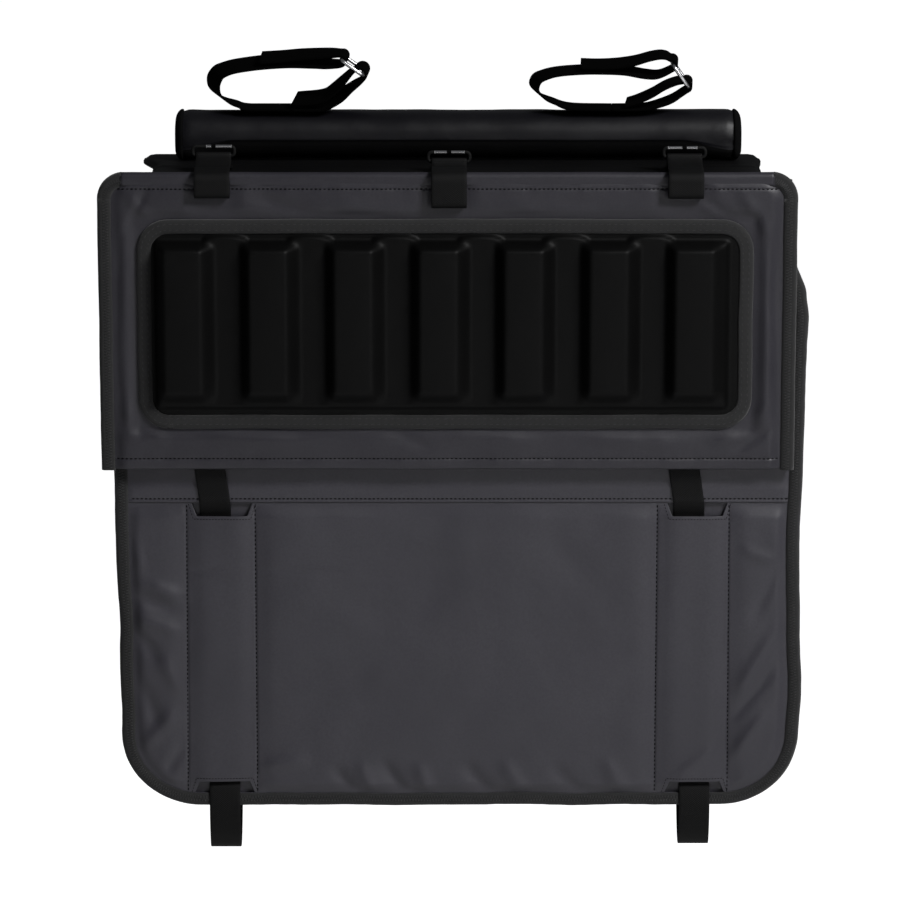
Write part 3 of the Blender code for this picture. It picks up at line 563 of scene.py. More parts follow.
# Moulded bumper
# One compression-moulded sheet of EVA foam with a knit face: a flat sewing flange, a low
# plinth and seven wide lands with drafted walls, which the bikes' down tubes rest against.
FLANGE_Y = bumper_high.y - 0.0030
PLINTH_RISE = 0.0060
LAND_RISE = 0.0160
LAND_PITCH = 0.0860
LAND_WIDTH = 0.0400
LAND_MIDDLE = -0.0093
LAND_COUNT = 7
LAND_TOP = -0.0642
LAND_BOTTOM = -0.2108
BUMPER_CORNER = 0.030
EVA_WALL = 0.0024


def wall(value, low, high):
    """A moulded wall's rise from 0 to 1: straight in its middle, rounded at its foot and its edge."""
    share = min(max((value - low) / (high - low), 0.0), 1.0)
    return 0.45 * share + 0.55 * share * share * (3.0 - 2.0 * share)


def bumper_rise(x, z):
    """How far the moulding stands out from its flange."""
    number = min(max(round((x - LAND_MIDDLE) / LAND_PITCH + 3), 0), LAND_COUNT - 1)
    middle = LAND_MIDDLE + (number - 3) * LAND_PITCH
    off = x - middle
    trough = min(max((abs(off) - LAND_WIDTH / 2) / (LAND_PITCH - LAND_WIDTH) * 2, 0.0), 1.0)
    outer_end = (number == 0 and off < 0) or (number == LAND_COUNT - 1 and off > 0)
    arch = 0.0 if outer_end else sqrt(max(1.0 - (1.0 - trough) ** 2, 0.0)) * 0.0065
    plinth = wall(x, bumper_low.x + 0.0155, bumper_low.x + 0.0205)
    plinth *= wall(bumper_high.x - x, 0.0215, 0.0270)
    plinth *= wall(z, bumper_low.z + 0.0180, bumper_low.z + 0.0230)
    plinth *= wall(bumper_high.z - 0.0185 + arch - z, 0.0, 0.0045)
    left_wall = wall(off, -LAND_WIDTH / 2 - 0.0090, -LAND_WIDTH / 2 + 0.0015)
    right_wall = wall(LAND_WIDTH / 2 + 0.0130 - off, -0.0005, 0.0150)
    top_wall = wall(LAND_TOP + 0.0070 - z, 0.0, 0.0085)
    bottom_wall = wall(z, LAND_BOTTOM - 0.0150, LAND_BOTTOM + 0.0010)
    land = left_wall * right_wall * top_wall * bottom_wall
    crown = 0.0008 * (1 - (off / 0.022) ** 2) if abs(off) < 0.022 else 0.0
    dimple = 0.00025 * waves(x, z, 55.0, 6.6)
    return PLINTH_RISE * plinth + (LAND_RISE - 0.0008 + crown) * land + dimple * min(plinth + land, 1.0)


def bumper_half_width(z):
    """Half the flange's width at a height, round its corners."""
    middle = (bumper_low.z + bumper_high.z) / 2
    above = abs(z - middle) - ((bumper_high.z - bumper_low.z) / 2 - BUMPER_CORNER)
    drop = BUMPER_CORNER - sqrt(max(BUMPER_CORNER ** 2 - max(above, 0.0) ** 2, 0.0))
    return (bumper_high.x - bumper_low.x) / 2 - drop - 0.0004


bumper_middle = (bumper_low.x + bumper_high.x) / 2


def bumper_place(x, z):
    """A corner of the moulding's face."""
    half = (bumper_high.x - bumper_low.x) / 2
    fixed = half - 1.5 * BUMPER_CORNER
    across = abs(x - bumper_middle)
    if across > fixed:
        across = fixed + (across - fixed) / (half - fixed) * (bumper_half_width(z) - fixed)
    inside = bumper_middle + (across if x > bumper_middle else -across)
    return Vector((inside, FLANGE_Y - bumper_rise(inside, z), z))


def knit_material(name, colour, worn, rough, scale, relief):
    """A fine warp knit laminated to foam: small loops in rows, very matt."""
    return cloth_material(name, colour, worn, rough, scale, relief, 0.00012, 0.0, 0.09, 0.12)


EVA = knit_material("moulded_eva", (0.0014, 0.0014, 0.0014), (0.0021, 0.0021, 0.0021), 0.50, 1500, 0.00006)
bumper_columns = steps(bumper_low.x, bumper_high.x, 0.0021)
bumper_rows = steps(bumper_low.z, bumper_high.z, 0.0021)
bumper = cloth("bumper_pad", bumper_columns, bumper_rows, bumper_place)
thicken(bumper, EVA_WALL)
settle(bumper, EVA, "eva", "bumper_moulding")

# Bumper tape
# Tape covers the flange's cut edge and is sewn to the flap by two rows of stitches. Its ends
# meet in the middle of the bottom side.
TAPE_JOINT_X = -0.0085
left, right = bumper_low.x, bumper_high.x
bottom, top = bumper_low.z, bumper_high.z
inner_left, inner_right = left + BUMPER_CORNER, right - BUMPER_CORNER
inner_bottom, inner_top = bottom + BUMPER_CORNER, top - BUMPER_CORNER
bumper_edge = straight(TAPE_JOINT_X, bottom, inner_left, bottom, (0, -1))
bumper_edge += corner(inner_left, inner_bottom, BUMPER_CORNER, 270, 180)
bumper_edge += straight(left, inner_bottom, left, inner_top, (-1, 0))[1:]
bumper_edge += corner(inner_left, inner_top, BUMPER_CORNER, 180, 90)[1:]
bumper_edge += straight(inner_left, top, inner_right, top, (0, 1))[1:]
bumper_edge += corner(inner_right, inner_top, BUMPER_CORNER, 90, 0)[1:]
bumper_edge += straight(right, inner_top, right, inner_bottom, (1, 0))[1:]
bumper_edge += corner(inner_right, inner_bottom, BUMPER_CORNER, 0, -90)[1:]
bumper_edge += straight(inner_right, bottom, TAPE_JOINT_X, bottom, (0, -1))[1:-1]
flange_tape = (
    (TAPE_WIDTH, FLANGE_Y - 0.0003), (TAPE_WIDTH, FLANGE_Y - 0.0012),
    (TAPE_WIDTH - 0.0012, FLANGE_Y - 0.0016),
    (0.0075, FLANGE_Y - 0.0018), (0.0030, FLANGE_Y - 0.0016), (0.0008, FLANGE_Y - 0.0012),
    (-0.0006, FLANGE_Y - 0.0002), (-0.0013, FLANGE_Y + 0.0012), (-0.0013, FLAP_Y - 0.0003),
    (-0.0003, FLAP_Y - 0.0003), (-0.0003, FLANGE_Y), (0.0010, FLANGE_Y - 0.0003))
bumper_tape = swept("bumper_tape", bumper_edge, flange_tape, True, 0.0008)
settle(bumper_tape, BINDING, "binding", "bumper_binding")
closed_edge = bumper_edge + bumper_edge[:1]
bumper_rows_of_stitches = zigzag(closed_edge, FLANGE_Y - 0.0017, 0.0030, 0.0034, 0.0066)
bumper_rows_of_stitches += zigzag(closed_edge, FLANGE_Y - 0.0017, 0.0088, 0.0092, 0.0066)
stitches("bumper_tape_stitches", bumper_rows_of_stitches[::2], 0.00028, LIGHT_THREAD)

# Lower panel
# The lower panel is the same coated cloth over thicker foam: a yoke above, whose folded edge
# laps the face below, and two sewn channels with a slot at each end for the ties.
face_low, face_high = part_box("outer_panel_face")
yoke_low, yoke_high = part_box("outer_panel_yoke")
panel_lining_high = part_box("outer_panel_lining")[1]
PANEL_Y = face_low.y
PANEL_BACK = panel_lining_high.y
PANEL_CORNER = 0.080
PANEL_MIDDLE = (face_low.x + face_high.x) / 2
PANEL_HALF = (face_high.x - face_low.x) / 2
YOKE_FOLD_Z = yoke_low.z
YOKE_SEAM_Z = YOKE_FOLD_Z + 0.0040
CHANNELS = {"left": PANEL_MIDDLE - 0.244, "right": PANEL_MIDDLE + 0.244}
CHANNEL_SEAMS = ((-0.2677, -0.2697), (-0.1975, -0.1975), (0.2153, 0.2150), (0.2890, 0.2906))
SLOT_HALF = 0.031
SLOT_NARROW = 0.026
UPPER_SLOT = (YOKE_FOLD_Z - 0.014, YOKE_FOLD_Z - 0.001)
LOWER_SLOT = (face_low.z + 0.0125, face_low.z + 0.0255)
LAP_STEP = 0.0015
SLOT_FADE = 0.006
SLOT_SPREAD = 0.014
PANEL_FIXED = 0.285
PANEL_GRID = 0.0032

RIGHT_SIDE = (
    (0.000, -0.0175), (-0.080, -0.0120), (-0.118, -0.0005), (-0.140, 0.0022), (-0.175, 0.0008),
    (-0.290, -0.0008),
    (-0.385, -0.0032), (-0.470, -0.0012), (-0.530, 0.0012), (-0.580, -0.0010), (-0.654, 0.0))
LEFT_SIDE = (
    (0.000, -0.0060), (-0.200, -0.0020), (-0.300, 0.0024), (-0.390, 0.0008), (-0.470, -0.0012),
    (-0.560, -0.0026),
    (-0.654, 0.0))
PANEL_FOLDS = (
    (-0.306, -0.418, -0.270, -0.432, 0.007, 0.0030), (-0.322, -0.430, -0.276, -0.448, 0.007, -0.0026),
    (-0.312, -0.455, -0.272, -0.470, 0.006, 0.0026), (-0.324, -0.468, -0.296, -0.500, 0.008, -0.0034),
    (-0.300, -0.492, -0.272, -0.532, 0.008, 0.0030), (-0.322, -0.520, -0.300, -0.570, 0.008, -0.0026),
    (-0.315, -0.590, -0.285, -0.555, 0.008, 0.0026), (-0.290, -0.616, -0.274, -0.590, 0.006, -0.0024),
    (-0.325, -0.350, -0.318, -0.395, 0.005, 0.0020), (-0.268, -0.404, -0.236, -0.403, 0.003, -0.0012),
    (-0.188, -0.402, -0.120, -0.404, 0.003, -0.0012), (-0.190, -0.612, -0.150, -0.606, 0.007, 0.0020),
    (-0.096, -0.644, -0.116, -0.616, 0.007, -0.0030), (-0.074, -0.644, -0.090, -0.612, 0.007, 0.0026),
    (-0.044, -0.644, -0.066, -0.610, 0.007, -0.0032), (-0.018, -0.644, -0.030, -0.612, 0.007, 0.0024),
    (0.044, -0.644, 0.020, -0.612, 0.008, -0.0026), (0.080, -0.644, 0.060, -0.610, 0.008, 0.0024),
    (0.140, -0.644, 0.112, -0.616, 0.008, -0.0024), (0.186, -0.644, 0.165, -0.608, 0.008, 0.0022),
    (0.240, -0.622, 0.278, -0.592, 0.007, 0.0020), (0.292, -0.606, 0.326, -0.560, 0.007, 0.0030),
    (0.296, -0.560, 0.334, -0.510, 0.006, -0.0026), (0.300, -0.530, 0.338, -0.470, 0.007, 0.0024),
    (0.318, -0.450, 0.342, -0.400, 0.006, -0.0022), (0.305, -0.380, 0.336, -0.392, 0.006, 0.0020),
    (0.060, -0.560, 0.190, -0.500, 0.024, 0.0016), (-0.170, -0.420, -0.080, -0.470, 0.022, 0.0014),
    (-0.060, -0.360, 0.040, -0.380, 0.014, 0.0012), (0.100, -0.370, 0.160, -0.430, 0.018, -0.0012),
)


def panel_half_width(z):
    """Half the lower panel's width at a height: it narrows round its bottom corners."""
    below = face_low.z + PANEL_CORNER - z
    drop = PANEL_CORNER - sqrt(max(PANEL_CORNER ** 2 - max(below, 0.0) ** 2, 0.0))
    return PANEL_HALF - drop


def drawn(x, z):
    """A place's x after the panel's long sides are drawn in and out a little, as sewn cloth is."""
    table = RIGHT_SIDE if x > PANEL_MIDDLE else LEFT_SIDE
    share = ramp(abs(x - PANEL_MIDDLE), PANEL_HALF - 0.10, PANEL_HALF - 0.004)
    if share == 0.0:
        return x
    shift = table[0][1]
    for (high_z, high_shift), (low_z, low_shift) in zip(table, table[1:]):
        if z < high_z:
            shift = high_shift + (low_shift - high_shift) * ramp(high_z - z, 0.0, high_z - low_z)
    return x + (1 if x > PANEL_MIDDLE else -1) * shift * share


def seam_x(ends, z):
    """Where a channel's seam runs at a height."""
    share = (z - YOKE_FOLD_Z) / (face_low.z - YOKE_FOLD_Z)
    return ends[0] + (ends[1] - ends[0]) * share


def edge_distance(x, z):
    """How far a place lies inside the lower panel's rounded edge."""
    over_x = abs(x - PANEL_MIDDLE) - (PANEL_HALF - PANEL_CORNER)
    over_z = face_low.z + PANEL_CORNER - z
    if over_x > 0 and over_z > 0:
        return PANEL_CORNER - hypot(over_x, over_z)
    return min(PANEL_HALF - abs(x - PANEL_MIDDLE), z - face_low.z)


def face_height(x, z):
    """How far the lower panel's face stands off its foam."""
    inside = edge_distance(x, z)
    free = ramp(inside, TAPE_WIDTH - 0.001, TAPE_WIDTH + 0.011) * ramp(YOKE_FOLD_Z - z, 0.0, 0.018)
    height = 0.0042 + 0.0020 * waves(x, z, 9.0, 12.4) + 0.0007 * waves(x, z, 30.0, 2.9)
    height += ridge(x, z, PANEL_FOLDS)
    near_edge = exp(-((inside - TAPE_WIDTH) / 0.016) ** 2)
    height += 0.0018 * near_edge * waves(x, z * 0.6, 38.0, 8.8)
    height *= free
    for ends in CHANNEL_SEAMS:
        off = x - seam_x(ends, z)
        if abs(off) < 0.03:
            height *= 1.0 - 0.62 * exp(-(off / 0.012) ** 2)
            height -= 0.0009 * exp(-(off / 0.0014) ** 2)
            height += 0.00028 * exp(-(off / 0.007) ** 2) * waves(x * 0.4, z * 3.2, 42.0, 5.6)
    return max(height, 0.0)


def slot_shift(x, z):
    """How far the cloth is drawn in beside a slot, so that its sides slant."""
    for middle in CHANNELS.values():
        off = x - middle
        if abs(off) > SLOT_HALF + SLOT_SPREAD:
            continue
        for low, high, wide_end in ((*UPPER_SLOT, "high"), (*LOWER_SLOT, "low")):
            if low - SLOT_FADE < z < high + SLOT_FADE:
                share = min(max((z - low) / (high - low), 0.0), 1.0)
                if wide_end == "high":
                    share = 1.0 - share
                fade = ramp(z, low - SLOT_FADE, low) * ramp(high + SLOT_FADE - z, 0.0, SLOT_FADE)
                pull = (SLOT_HALF - SLOT_NARROW) * share * fade
                if abs(off) <= SLOT_HALF:
                    return -off / SLOT_HALF * pull
                return -(1 if off > 0 else -1) * pull * (1 - (abs(off) - SLOT_HALF) / SLOT_SPREAD)
    return 0.0


def face_place(x, z):
    """A corner of the lower panel's face cloth."""
    limit = panel_half_width(z)
    off = abs(x - PANEL_MIDDLE)
    across = x
    if z < LOWER_SLOT[0] - SLOT_FADE:
        across = PANEL_MIDDLE + (x - PANEL_MIDDLE) / PANEL_HALF * limit
    elif off > PANEL_FIXED:
        spare = (off - PANEL_FIXED) / (PANEL_HALF - PANEL_FIXED)
        fixed = min(PANEL_FIXED, limit)
        reach = fixed + spare * (limit - fixed)
        across = PANEL_MIDDLE + (reach if x > PANEL_MIDDLE else -reach)
    across += slot_shift(x, z)
    return Vector((drawn(across, z), PANEL_Y - face_height(across, z), z))


def in_slot(x, z):
    """Whether a cell of the face cloth's grid lies in a slot."""
    for middle in CHANNELS.values():
        if abs(x - middle) < SLOT_HALF:
            for low, high in (UPPER_SLOT, LOWER_SLOT):
                if low < z < high:
                    return True
    return False


def open_cells(piece, columns, rows, inside):
    """Take out the cells of a sheet's grid that lie in an opening."""
    wide = len(columns)
    middles = []
    for polygon in piece.data.polygons:
        row, column = divmod(min(polygon.vertices), wide)
        middles.append(((columns[column] + columns[column + 1]) / 2, (rows[row] + rows[row + 1]) / 2))
    choose(piece)
    bpy.ops.object.mode_set(mode="EDIT")
    bpy.ops.mesh.select_mode(type="FACE")
    bpy.ops.mesh.select_all(action="DESELECT")
    bpy.ops.object.mode_set(mode="OBJECT")
    for polygon, (x, z) in zip(piece.data.polygons, middles):
        polygon.select = inside(x, z)
    bpy.ops.object.mode_set(mode="EDIT")
    bpy.ops.mesh.delete(type="FACE")
    bpy.ops.object.mode_set(mode="OBJECT")


slot_edges = [middle + side * SLOT_HALF for middle in CHANNELS.values() for side in (-1, 1)]
seam_lines = [sum(ends) / 2 for ends in CHANNEL_SEAMS]
face_columns = steps(face_low.x, face_high.x, PANEL_GRID, *slot_edges, *seam_lines)
face_rows = steps(face_low.z, face_high.z, PANEL_GRID, *UPPER_SLOT, *LOWER_SLOT)
face_cloth = cloth("lower_face_cloth", face_columns, face_rows, face_place)
open_cells(face_cloth, face_columns, face_rows, in_slot)
thicken(face_cloth, CLOTH)
settle(face_cloth, TARPAULIN, "tarpaulin", "outer_panel_face", "outer_panel_foam")


def channel_place(x, z):
    """A corner of the cloth inside a channel, behind the tie."""
    return Vector((x, PANEL_Y + 0.0043 + 0.0003 * waves(x, z, 30.0, 15.0), z))


for side, middle in CHANNELS.items():
    channel_cloth = cloth(
        f"channel_cloth_{side}", steps(middle - 0.036, middle + 0.036, 0.006),
        steps(face_low.z + 0.006, YOKE_FOLD_Z + 0.004, 0.006), channel_place)
    thicken(channel_cloth, CLOTH)
    settle(channel_cloth, TARPAULIN, "tarpaulin")


def yoke_height(x, z):
    """How far the yoke stands off the foam: its folded edge lies over the face below."""
    inside = edge_distance(x, z)
    lap = LAP_STEP * ramp(YOKE_FOLD_Z + 0.022 - z, 0.0, 0.008)
    lap *= ramp(inside, TAPE_WIDTH - 0.002, TAPE_WIDTH + 0.003)
    height = 0.0010 + 0.0007 * waves(x, z, 12.0, 20.4) + 0.0003 * waves(x * 2.0, z, 30.0, 22.0)
    height *= ramp(inside, TAPE_WIDTH, TAPE_WIDTH + 0.020) * ramp(z - YOKE_FOLD_Z, 0.006, 0.020)
    pulled = 0.0005 * exp(-((z - YOKE_SEAM_Z) / 0.0012) ** 2)
    pucker = 0.0003 * exp(-((z - YOKE_SEAM_Z) / 0.005) ** 2) * (waves(x * 3.0, z * 0.5, 42.0, 1.3) + 0.5)
    rounding = 0.0007 * ramp(YOKE_FOLD_Z + 0.0009 - z, 0.0, 0.0009)
    return max(height + lap + pucker - pulled - rounding, 0.0)


def yoke_place(x, z):
    """A corner of the yoke's cloth."""
    return Vector((drawn(x, z), PANEL_Y - yoke_height(x, z), z))


YOKE_HIDDEN_Z = -0.270
yoke_rows = steps(YOKE_FOLD_Z, YOKE_HIDDEN_Z, PANEL_GRID, YOKE_FOLD_Z + 0.0010, YOKE_SEAM_Z)
yoke_rows += steps(YOKE_HIDDEN_Z, yoke_high.z, 0.012)[1:]
yoke_cloth = cloth("yoke_cloth", steps(yoke_low.x, yoke_high.x, PANEL_GRID), yoke_rows, yoke_place)
thicken(yoke_cloth, CLOTH)
settle(yoke_cloth, TARPAULIN, "tarpaulin", "outer_panel_yoke")


def panel_surface(x, z):
    """The front of the lower panel's cloth."""
    if z > YOKE_FOLD_Z:
        return PANEL_Y - yoke_height(x, z)
    return PANEL_Y - face_height(x, z)


panel_reach = PANEL_HALF - TAPE_WIDTH - 0.001
yoke_pairs = running(
    PANEL_MIDDLE - panel_reach, YOKE_SEAM_Z, PANEL_MIDDLE + panel_reach, YOKE_SEAM_Z, panel_surface)
stitches("yoke_seam", yoke_pairs, SEAM_THREAD, THREAD)
channel_pairs = []
for ends in CHANNEL_SEAMS:
    channel_pairs += running(ends[0], YOKE_FOLD_Z - 0.002, ends[1], face_low.z + 0.014, panel_surface)
stitches("channel_seams", channel_pairs, SEAM_THREAD, THREAD)
slot_pairs = []
for middle in CHANNELS.values():
    for low, high, upper in ((*UPPER_SLOT, True), (*LOWER_SLOT, False)):
        wide, narrow = SLOT_HALF + 0.0035, SLOT_NARROW + 0.0035
        far_z = low - 0.0032 if upper else high + 0.0032
        near_z = high if upper else low
        lines = [
            (-wide, near_z, -narrow, far_z), (wide, near_z, narrow, far_z),
            (-narrow, far_z, narrow, far_z)]
        for start, start_z, end, end_z in lines:
            slot_pairs += running(
                middle + start, start_z, middle + end, end_z, panel_surface, 0.0030, 0.0021)
stitches("slot_seams", slot_pairs, TAPE_THREAD, THREAD)

# Lower panel's tape and lining
# The same tape runs down the sides and along the bottom. The back is the brushed knit.
panel_edge = hanging_edge(face_low, face_high, yoke_high.z, PANEL_CORNER, 30)
panel_edge = [(drawn(x, z), z, out_x, out_z) for x, z, out_x, out_z in panel_edge]
panel_tape = swept("panel_tape", panel_edge, folded(PANEL_Y, PANEL_BACK, fold=0.0035), False, 0.0014)
settle(panel_tape, BINDING, "binding", "outer_panel_binding")
panel_zigzag = zigzag(panel_edge, PANEL_Y - TAPE - 0.0002, *STITCH_INSETS)
stitches("panel_tape_stitches", panel_zigzag, TAPE_THREAD, LIGHT_THREAD)


def panel_back_place(x, z):
    """A corner of the lower panel's lining, which faces the tailgate."""
    across = PANEL_MIDDLE + (x - PANEL_MIDDLE) / PANEL_HALF * panel_half_width(z)
    ease = 0.0004 * (1 + waves(x, z, 10.0, 14.4)) * ramp(edge_distance(across, z), TAPE_WIDTH, 0.04)
    return Vector((drawn(across, z), PANEL_BACK + ease, z))


back_columns = list(reversed(steps(face_low.x, face_high.x, 0.012)))
panel_back = cloth("lower_panel_back", back_columns, steps(face_low.z, yoke_high.z, 0.008), panel_back_place)
thicken(panel_back, CLOTH)
settle(panel_back, LINING, "lining", "outer_panel_lining")

# Bolster
# The bolster is a sewn tube of the coated cloth over a firm foam bar, with a rounded cap sewn
# in at each end. The seams draw the tube in, so its underside is rounder in the middle.
bolster_low, bolster_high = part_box("bolster_cover")
UPPER_CORNER = 0.0260
LOWER_CORNER = 0.0215
END_LOWER_CORNER = 0.0115
CAP_BULGE = 0.0085
BOLSTER_SEAMS = {"left": bolster_low.x, "right": bolster_high.x}


def between(first, last):
    """Four places on the flat between two corners of the bolster."""
    return [
        tuple(start + (end - start) * share for start, end in zip(first, last))
        for share in (0.2, 0.4, 0.6, 0.8)]


def section(inset, lower_corner, count=10):
    """The bolster's outline in (y, z) and its outward normals, from the middle of its top forward."""
    low_y, high_y = bolster_low.y + inset, bolster_high.y - inset
    low_z, high_z = bolster_low.z + inset, bolster_high.z - inset
    upper = max(UPPER_CORNER - inset, 0.003)
    lower = max(lower_corner - inset, 0.003)
    corners = (
        (low_y + upper, high_z - upper, upper, 90), (low_y + lower, low_z + lower, lower, 180),
        (high_y - lower, low_z + lower, lower, 270), (high_y - upper, high_z - upper, upper, 0))
    places = []
    for y, z, radius, start in corners:
        arc = []
        for step in range(count + 1):
            angle = radians(start + 90.0 * step / count)
            arc.append((y + radius * cos(angle), z + radius * sin(angle), cos(angle), sin(angle)))
        if places:
            places += between(places[-1], arc[0])
        places += arc
    return places + between(places[-1], places[0])


def bolster_swell(x, y, z, reach):
    """How far the cover stands off its foam: puckers at the end seams, and soft uneven lengths."""
    near = exp(-(reach / 0.012) ** 2)
    swell = 0.0009 * noise.noise(Vector((x * 14.0, y * 22.0, z * 22.0)))
    swell += 0.0004 * noise.noise(Vector((x * 45.0, y * 30.0, z * 30.0)))
    swell += 0.0012 * near * noise.noise(Vector((x * 6.0, y * 120.0, z * 120.0)))
    swell -= 0.0016 * exp(-(reach / 0.0035) ** 2)
    return swell


def tube(name, rings, lengths):
    """A closed body through rings of equal count, with its UV in metres."""
    count = len(rings[0])
    points = [place for ring in rings for place in ring]
    faces = []
    marks = []
    girth = [0.0]
    middle_ring = rings[len(rings) // 2]
    for here, there in zip(middle_ring, middle_ring[1:] + middle_ring[:1]):
        girth.append(girth[-1] + (there - here).length)
    for ring in range(len(rings) - 1):
        for step in range(count):
            turn = (step + 1) % count
            here, there = ring * count, (ring + 1) * count
            faces.append((here + step, here + turn, there + turn, there + step))
            marks.append((
                (girth[step], lengths[ring]), (girth[step + 1], lengths[ring]),
                (girth[step + 1], lengths[ring + 1]), (girth[step], lengths[ring + 1])))
    faces.append(tuple(range(count - 1, -1, -1)))
    faces.append(tuple(range(len(points) - count, len(points))))
    marks += [((0.0, 0.0),) * count] * 2
    piece = new_piece(name, points, faces, marks)
    turn_outward(piece)
    return piece


# The bolster's copy of the coated cloth is coloured much darker than the lower panel's: painted shade.
BOLSTER_PAINTED_SHADE_CLOTH = cloth_material(
    "bolster_cloth_painted_shade", (0.0022, 0.0021, 0.0032), (0.0036, 0.0035, 0.0050), 0.42, CLOTH_THREADS,
    0.00005, 0.00020, 0.0, 0.28)
# The bolster's underside and both end caps get a near-black, matt cloth: painted shade, not a second fabric.
PAINTED_SHADE_UNDERSIDE_CLOTH = cloth_material(
    "bolster_underside_painted_shade", (0.0014, 0.0014, 0.0015), (0.0022, 0.0022, 0.0024), 0.90, 1100,
    0.00010, 0.00020, 0.0, 0.06)
FRONT_SEAM = 15
BACK_SEAM = 40
seam_places = list(BOLSTER_SEAMS.values())
bolster_lines = steps(bolster_low.x, bolster_high.x, 0.0045, *seam_places)
cover_rings = []
for x in bolster_lines:
    reach = min(x - bolster_low.x, bolster_high.x - x)
    lower_corner = END_LOWER_CORNER + (LOWER_CORNER - END_LOWER_CORNER) * ramp(reach, 0.0, 0.055)
    ring = []
    for y, z, out_y, out_z in section(0.0010, lower_corner):
        swell = bolster_swell(x, y, z, reach)
        resting = ramp(z, bolster_low.z + 0.0010, bolster_low.z + 0.006)
        swell *= resting
        if len(ring) in (FRONT_SEAM, BACK_SEAM):
            swell -= 0.0009
        ring.append(Vector((x, y + out_y * swell, z + out_z * swell)))
    cover_rings.append(ring)
bolster = tube("bolster_sleeve", cover_rings, bolster_lines)
settle(bolster, BOLSTER_PAINTED_SHADE_CLOTH, "tarpaulin", "bolster_cover", "bolster_foam")
# The faces under the bolster, between its two seams, take the near-black painted shade cloth.
bolster.data.materials.append(PAINTED_SHADE_UNDERSIDE_CLOTH)
around_count = len(cover_rings[0])
for polygon in bolster.data.polygons:
    steps_round = sorted(index % around_count for index in polygon.vertices)
    polygon.material_index = 1 if FRONT_SEAM <= steps_round[0] and steps_round[-1] <= BACK_SEAM else 0
cap_profile = ((0.0, 0.0014), (0.08, 0.0006), (0.22, 0.0004), (0.42, 0.0011), (0.66, 0.0029), (0.85, 0.0056),
               (0.95, 0.0088), (1.0, 0.0130), (0.99, 0.0175), (0.96, 0.0220))
for side, seam in BOLSTER_SEAMS.items():
    outward = -1 if side == "left" else 1
    cap_rings = []
    cap_lines = []
    for share, inset in cap_profile:
        x = seam + outward * share * CAP_BULGE
        ring = []
        for y, z, out_y, out_z in section(inset, END_LOWER_CORNER):
            pucker = 0.0006 * exp(-(share / 0.5) ** 2) * noise.noise(Vector((x * 6.0, y * 120.0, z * 120.0)))
            ring.append(Vector((x, y + out_y * pucker, z + out_z * pucker)))
        cap_rings.append(ring)
        cap_lines.append(outward * share * CAP_BULGE + inset)
    cap = tube(f"bolster_cap_{side}", cap_rings, cap_lines)
    # The end caps take the near-black painted shade cloth too.
    settle(cap, PAINTED_SHADE_UNDERSIDE_CLOTH, "tarpaulin", f"bolster_end_{side}")
    seam_stitches = []
    around = section(0.0026, END_LOWER_CORNER, 24)
    for (y0, z0, _, _), (y1, z1, _, _) in zip(around[::2], around[1::2]):
        seam_stitches.append((Vector((seam, y0, z0)), Vector((seam, y1, z1))))
    stitches(f"bolster_seam_{side}", seam_stitches, 0.00030, THREAD)

# Saddle
# A padded strip of the coated cloth over thin foam joins the flaps over the tailgate's top
# edge. Its ends are left raw-edged, with the cloth and the knit lining a little apart.
saddle_low, saddle_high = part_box("saddle_top")
under_low, under_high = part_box("saddle_lining")


def tapered(x, y):
    """The saddle's ends are cut at a slant: their front corners are shorter."""
    reach = ramp(0.055 - y, 0.0, 0.055)
    share = ramp(abs(x - (saddle_low.x + saddle_high.x) / 2), 0.24, 0.32)
    return x + share * reach * (0.0140 if x < 0 else -0.0045)


def saddle_place(x, y):
    """A corner of the saddle's upper cloth: the strip rounds down a little at its edges."""
    edge = min(x - saddle_low.x, saddle_high.x - x)
    drop = 0.0046 * exp(-(edge / 0.005) ** 2) * (1 + 0.3 * waves(x, y, 30.0, 1.0))
    drop += 0.0012 * exp(-((y - saddle_low.y) / 0.004) ** 2)
    ease = 0.0005 * waves(x, y, 16.0, 3.5)
    fold = 0.0016 * exp(-((y + 0.012) / 0.0030) ** 2) * (0.6 + waves(x, 0.2, 5.0, 2.0))
    return Vector((tapered(x, y), y, saddle_high.z - 0.0002 - drop + min(ease, 0.0) + max(fold, 0.0)))


# The saddle's copy of the coated cloth is coloured near black, with little specular: painted shade in the
# recess under the bolster.
SADDLE_PAINTED_SHADE_CLOTH = cloth_material(
    "saddle_cloth", (0.0016, 0.0016, 0.0018), (0.0026, 0.0026, 0.0029), 0.60, CLOTH_THREADS,
    0.00005, 0.00016, 0.0, 0.10)
saddle_cloth = cloth(
    "saddle_cloth", steps(saddle_low.x, saddle_high.x, 0.006, saddle_low.x + 0.004, saddle_high.x - 0.004),
    steps(saddle_low.y, saddle_high.y, 0.004, saddle_low.y + 0.002), saddle_place)
thicken(saddle_cloth, CLOTH)
settle(saddle_cloth, SADDLE_PAINTED_SHADE_CLOTH, "tarpaulin", "saddle_top", "saddle_foam")


def saddle_under_place(x, y):
    """A corner of the saddle's lining, which lies on the tailgate."""
    edge = min(x - under_low.x, under_high.x - x)
    lift = 0.0016 * exp(-(edge / 0.005) ** 2) * (1 + 0.5 * waves(x, y, 26.0, 6.0))
    return Vector((tapered(x, y), y, under_low.z + lift))


saddle_back = cloth(
    "saddle_under_lining",
    steps(under_low.x, under_high.x, 0.008, under_low.x + 0.004, under_high.x - 0.004),
    list(reversed(steps(under_low.y, under_high.y, 0.006))), saddle_under_place)
thicken(saddle_back, 0.0010)
settle(saddle_back, LINING, "lining", "saddle_lining")

